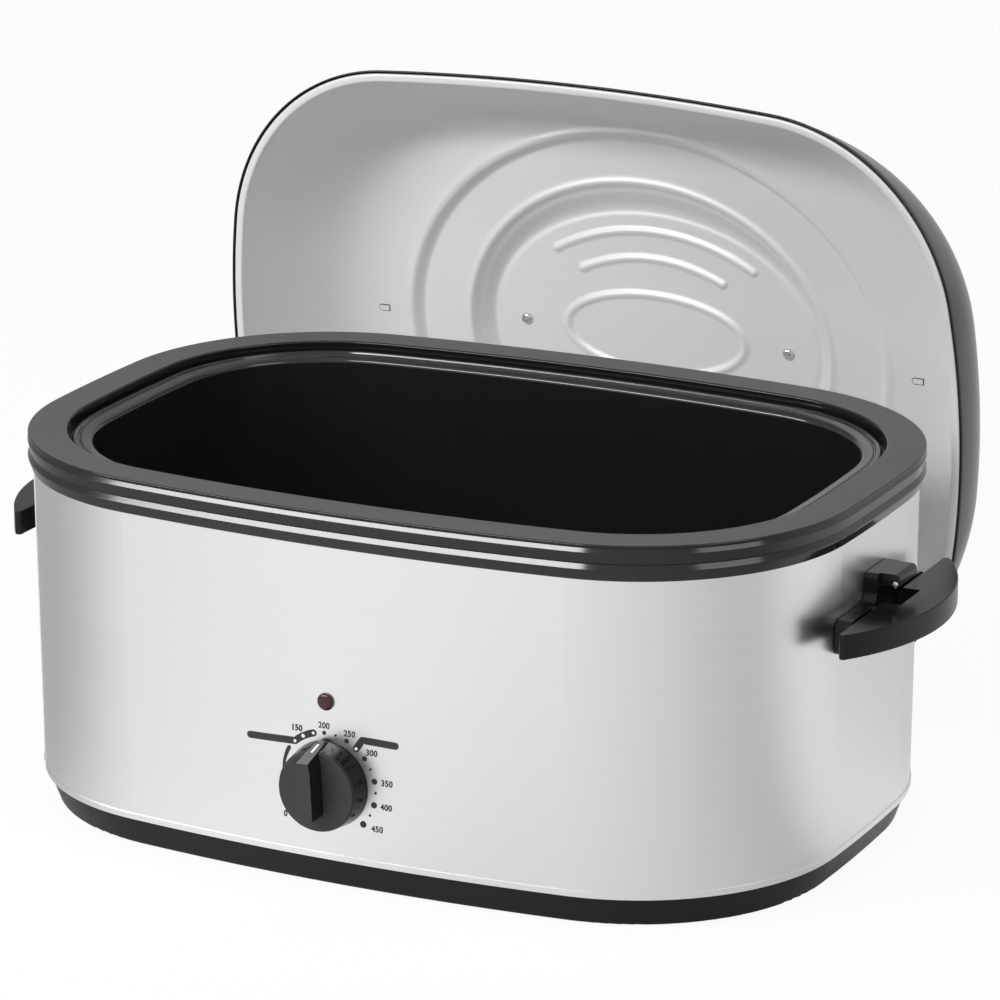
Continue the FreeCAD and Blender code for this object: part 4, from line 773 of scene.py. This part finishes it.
def polar(angle, radius=DIAL_RADIUS):
    turn = math.radians(angle)
    return radius * math.sin(turn), radius * math.cos(turn)

def disc(radius):
    turns = [math.tau * k / DISC_POINTS for k in range(DISC_POINTS)]
    return [(radius * math.cos(turn), radius * math.sin(turn)) for turn in turns]

def stroke(path, halves):
    """The outline of a line through points, with its own half width at each, and round ends."""
    path = [Vector(point) for point in path]
    ways = []
    for index, point in enumerate(path):
        before, after = path[max(index - 1, 0)], path[min(index + 1, len(path) - 1)]
        ways.append(((point - before).normalized() + (after - point).normalized()).normalized())
    left, right = [], []
    for point, way, half in zip(path, ways, halves):
        side = Vector((-way.y, way.x)) * half
        left.append(point + side)
        right.append(point - side)
    def cap(end, way, half):
        start = math.atan2(way.x, -way.y)
        turns = [start - math.pi * k / CAP_STEPS for k in range(1, CAP_STEPS)]
        return [end + Vector((math.cos(turn), math.sin(turn))) * half for turn in turns]
    line = left + cap(path[-1], ways[-1], halves[-1]) + right[::-1] + cap(path[0], -ways[0], halves[0])
    return [tuple(point) for point in line]

# %% [markdown]
# ## Dots, bars and the tapering stroke
# The dots grow with the heat. Two solid bars stand for the low settings, with white dots on them, and a stroke tapers
# away under the knob. The wall is curved and a flat shape is laid on it point by point, so a long bar gets points
# every two millimetres.

# %% Dots, bars and the tapering stroke
DOTS = {-2.8: 1.3, 10.9: 0.75, 24.6: 1.5, 51.6: 1.6, 64.7: 0.75, 78.4: 1.8, 91.4: 0.8, 105.4: 1.9, 118.7: 0.8,
        132.6: 2.05}
HOLES = {-41.8: 0.95, -29.4: 1.15, -16.0: 0.95, 37.9: 0.95}
LONGEST, BAR_HALF, SWEEP_STEPS = 2.0, 2.15, 12

def filled_in(points):
    """Add points along a path, so that none is much further than LONGEST from the next."""
    made = [points[0]]
    for start, stop in zip(points, points[1:]):
        count = max(1, round(math.dist(start, stop) / LONGEST))
        made += [(start[0] + (stop[0] - start[0]) * k / count, start[1] + (stop[1] - start[1]) * k / count)
                 for k in range(1, count + 1)]
    return made

print_black, print_white = [], []
for dots, kept, name, lift in (
        (DOTS, print_black, "dial_dot", INK_LIFT), (HOLES, print_white, "dial_hole", PAINT_LIFT)):
    for angle, radius in dots.items():
        x, z = polar(angle)
        kept.append(laid(flat_shape(name, disc(radius), INK_THICKNESS), DIAL_X + x, DIAL_Z + z, lift))

low_bar = filled_in([polar(-16.0), polar(-22.5), polar(-29.4), polar(-35.5), polar(-41.8), (-51.1, 22.2)])
high_bar = filled_in([polar(37.9), (23.2, 30.5), (44.3, 30.0)])
sweep = [polar(-53.5 - 4.4 * k, 31.2 - 0.3 * k) for k in range(SWEEP_STEPS)]
for name, path, halves in (
        ("low_bar", low_bar, [BAR_HALF] * len(low_bar)), ("high_bar", high_bar, [BAR_HALF] * len(high_bar)),
        ("sweep", sweep, [1.25 - 0.09 * k for k in range(SWEEP_STEPS)])):
    print_black.append(laid(flat_shape(name, stroke(path, halves), INK_THICKNESS), DIAL_X, DIAL_Z))

# %% [markdown]
# ## Numbers
# The numbers are plain text objects, whose weight, spacing and thickness are settings. Text is made a mesh before it
# is laid on the wall. Then all of the print is joined: the ink is one piece and the white dots are another.

# %% Numbers
NUMBERS = {"150": (-25.1, 97.4), "200": (-7.0, 101.6), "250": (9.6, 98.9), "300": (23.7, 89.3), "350": (33.2, 71.9),
           "400": (32.6, 57.1), "450": (26.6, 42.9), "0": (-33.6, 43.0)}
NUMBER_SIZE, BOLDER, SPACING, NARROWER = 5.2, 0.12, 1.08, 0.9

def number(words, x, z):
    only()
    bpy.ops.object.text_add()
    text = bpy.context.object
    text.data.body = words
    text.data.align_x, text.data.align_y = "CENTER", "CENTER"
    text.data.size, text.data.extrude, text.data.offset = NUMBER_SIZE * MM, INK_THICKNESS / 2 * MM, BOLDER * MM
    text.data.space_character = SPACING
    bpy.ops.object.convert(target="MESH")
    text = bpy.context.object
    text.data.transform(Matrix.Translation((0, 0, INK_THICKNESS / 2 * MM)) @ Matrix.Diagonal((NARROWER, 1, 1, 1)))
    return laid(text, x, z)

for words, (x, z) in NUMBERS.items():
    print_black.append(number(words, x, z))

def joined(pieces, name):
    only(*pieces)
    bpy.ops.object.join()
    piece = bpy.context.object
    piece.name = piece.data.name = name
    return piece

dial_print = joined(print_black, "dial_print")
dial_holes = joined(print_white, "dial_holes")

# %% [markdown]
# ## Softened mouldings
# A moulded part has no sharp edge: each one is a small radius that catches a thin line of light. The knob, the
# handles and their brackets keep their solids' shapes. A copy of each mesh is merged, its flat faces are made whole
# again, and a Bevel modifier rounds the edges that are sharper than an angle.

# %% Round the edges of a copy
FLAT_ANGLE, BEVEL_ANGLE, BEVEL_SEGMENTS = 0.3, 28, 2

def softened(node, name, width):
    """A copy of a node's mesh with its edges rounded to a width in millimetres."""
    copy = bpy.data.objects.new(name, nodes[node].data.copy())
    bpy.context.scene.collection.objects.link(copy)
    copy.data.name = name
    only(copy)
    bpy.ops.object.mode_set(mode="EDIT")
    bpy.ops.mesh.select_all(action="SELECT")
    bpy.ops.mesh.remove_doubles(threshold=MERGE)
    bpy.ops.mesh.dissolve_limited(angle_limit=math.radians(FLAT_ANGLE))
    bpy.ops.object.mode_set(mode="OBJECT")
    modified(copy, "BEVEL", width=width * MM, segments=BEVEL_SEGMENTS, limit_method="ANGLE",
             angle_limit=math.radians(BEVEL_ANGLE))
    return copy

SIDES = ("right", "left")
soft_knob = softened("control_knob", "knob_soft", 0.35)
soft_grips = [softened(side + "_handle_grip", side + "_grip_soft", 0.8) for side in SIDES]
soft_brackets = [softened(side + "_handle_bracket", side + "_bracket_soft", 0.5) for side in SIDES]

# %% [markdown]
# ## Hand the pieces over
# Every modelled piece gets its finish, the body that it moves with, and the node that it stands for. The vents, the
# print and two of the screws stand for no node.

# %% Give the modelled pieces their finishes
finished(collar, collar_paint, "oven", "collar_black", "collar_ring", sharp=30, flats=True)
finished(pan, pan_enamel, "pan", "pan_enamel", "roasting_pan", sharp=50)
finished(liner, liner_satin, "lid", "lid_aluminium", "lid_liner", sharp=60)
finished(cover, cover_enamel, "lid", "lid_black", "lid_cover", sharp=60)
finished(lid_screw_pair[0], bright_screw, "lid", "screw_steel", "lid_screws")
finished(lid_screw_pair[1], bright_screw, "lid", "screw_steel")
finished(hook_screw, bright_screw, "oven", "screw_steel")
# The slot sheets under the tongues are painted shade.
for painted_shade_piece, tongue in zip(vent_shade_sheets, vent_tongues):
    finished(painted_shade_piece, vent_painted_shade, "lid", "lid_black")
    finished(tongue, liner_satin, "lid", "lid_aluminium")
finished(dial_print, print_ink, "oven", "knob_black")
finished(dial_holes, mark_paint, "oven", "mark_white")
finished(soft_knob, knob_moulding, "knob", "knob_black", "control_knob", flats=True)
for side, grip, bracket in zip(SIDES, soft_grips, soft_brackets):
    finished(grip, handle_moulding, "oven", "handle_black", side + "_handle_grip", flats=True)
    finished(bracket, bracket_moulding, "oven", "handle_black", side + "_handle_bracket", flats=True)

# %% [markdown]
# ## The studio's whites
# A pale floor and an even surround. Both are white where the camera or a reflection sees them, which the Light Path
# node tells, so the background is white without more light on the object, and the floor keeps part of its shadow. In
# a shiny wall, form shows only where the light round it changes. So what reflections see runs from light to grey and
# back with the bearing from the oven, as the screens and gaps of a real studio do.

# %% White where it is seen
WHITE = (1, 1, 1, 1)

def by_bearing(graph, coordinates, tones):
    """A white that changes with the bearing from the oven, by a ramp of (bearing, tone) stops."""
    spot = graph.node("ShaderNodeTexCoord", output=coordinates)
    sideways = graph.node("ShaderNodeSeparateXYZ", {}, {"Vector": spot}, output="X")
    backwards = graph.node("ShaderNodeSeparateXYZ", {}, {"Vector": spot}, output="Y")
    bearing = sideways.math("ARCTAN2", sideways, backwards * -1.0)
    stops = [(angle / 360 + 0.5, (tone, tone, tone)) for angle, tone in tones]
    return graph.node("ShaderNodeValToRGB", {"stops": stops}, {0: bearing * (1 / math.tau) + 0.5})

def white_when_seen(graph, lit, white, output, seen, mirrored, coordinates, tones):
    """Mix the lit shader with white, by one share for what the camera sees and one for reflections."""
    camera_ray, glossy, through = (graph.node("ShaderNodeLightPath", output="Is %s Ray" % kind)
                                   for kind in ("Camera", "Glossy", "Transmission"))
    strength = camera_ray.or_more(by_bearing(graph, coordinates, tones))
    share = (camera_ray * seen).or_more(glossy.or_more(through) * mirrored)
    mixed = graph.node("ShaderNodeMixShader", {}, {
        0: share, 1: lit, 2: graph.node(white, {}, {"Color": WHITE, "Strength": strength})})
    graph.node(output, {}, {"Surface": mixed})

# %% [markdown]
# ## The floor
# The floor is a plain wide plane of pale matt paint. Its tones are given in degrees from the front, minus to the left.

# %% Floor
FLOOR_TONES = ((-180, 0.6), (-125, 0.4), (-80, 0.4), (-67, 0.47), (-56, 0.64), (-48, 0.8), (-37, 0.97), (-25, 1.0),
               (-10, 1.0), (0, 0.9), (14, 0.83), (30, 0.79), (48, 0.69), (62, 0.6), (76, 0.5), (83, 0.52), (91, 0.78),
               (100, 0.9), (112, 0.92), (124, 0.78), (135, 0.74), (180, 0.6))
bpy.ops.mesh.primitive_plane_add(size=24, location=(0, 0, 0))
floor = bpy.context.object
floor.name = "studio_floor"
floor_paint = bpy.data.materials.new("floor_paint")
floor_paint.use_nodes = True
floor.data.materials.append(floor_paint)
floor_graph = Graph(floor_paint.node_tree)
floor_lit = floor_graph.node("ShaderNodeBsdfDiffuse", {}, {"Color": (0.9, 0.9, 0.9, 1)})
white_when_seen(floor_graph, floor_lit, "ShaderNodeEmission", "ShaderNodeOutputMaterial", seen=0.93, mirrored=0.85,
                coordinates="Object", tones=FLOOR_TONES)

# %% [markdown]
# ## The surround
# The world lights the object at half strength from all round, which is the soft part of the light.

# %% Surround
SKY_TONES = ((-180, 0.6), (-140, 0.4), (-95, 0.42), (-75, 0.55), (-50, 0.82), (-36, 1.0), (-24, 1.0), (-14, 0.85),
             (16, 0.8), (50, 0.68), (85, 0.52), (100, 0.55), (120, 0.82), (145, 0.9), (158, 0.76), (180, 0.6))
world = bpy.data.worlds.new("studio_surround")
bpy.context.scene.world = world
world.use_nodes = True
world_graph = Graph(world.node_tree)
world_lit = world_graph.node("ShaderNodeBackground", {}, {"Color": WHITE, "Strength": 0.5})
white_when_seen(world_graph, world_lit, "ShaderNodeBackground", "ShaderNodeOutputWorld", seen=1.0, mirrored=1.0,
                coordinates="Generated", tones=SKY_TONES)
print(len(SKY_TONES), "tones round the world")

# %% [markdown]
# ## The lamps
# A long narrow lamp at the upper left gives the forms a light side, and draws a bright line along each bead of the
# collar. It is rolled about its own axis until those lines run the length of the front. A small soft lamp on the
# right keeps that end from going flat.

# %% Lamps
LAMP_AIM, LAMP_DISTANCE = Vector((0, 0, 0.15)), 2.2

def soft_lamp(name, turn, lift, width, height, power, roll=0):
    """An area lamp by its bearing from the front and its height angle, rolled about its line to the aim."""
    turn, lift = math.radians(turn), math.radians(lift)
    place = LAMP_AIM + LAMP_DISTANCE * Vector((math.sin(turn) * math.cos(lift), -math.cos(turn) * math.cos(lift),
                                               math.sin(lift)))
    bpy.ops.object.light_add(type="AREA", location=place)
    lamp = bpy.context.object
    lamp.name = name
    lamp.data.shape = "RECTANGLE"
    lamp.data.size, lamp.data.size_y = width, height
    lamp.data.energy = power
    lamp.rotation_euler = ((LAMP_AIM - place).to_track_quat("-Z", "Y").to_matrix()
                           @ Matrix.Rotation(math.radians(roll), 3, "Z")).to_euler()
    print(name, power, "watts")

soft_lamp("long_lamp", turn=-34, lift=35, width=2.2, height=0.25, power=36, roll=26)
soft_lamp("side_lamp", turn=75, lift=35, width=1.0, height=0.8, power=7)
bpy.context.scene.view_settings.view_transform = "Standard"
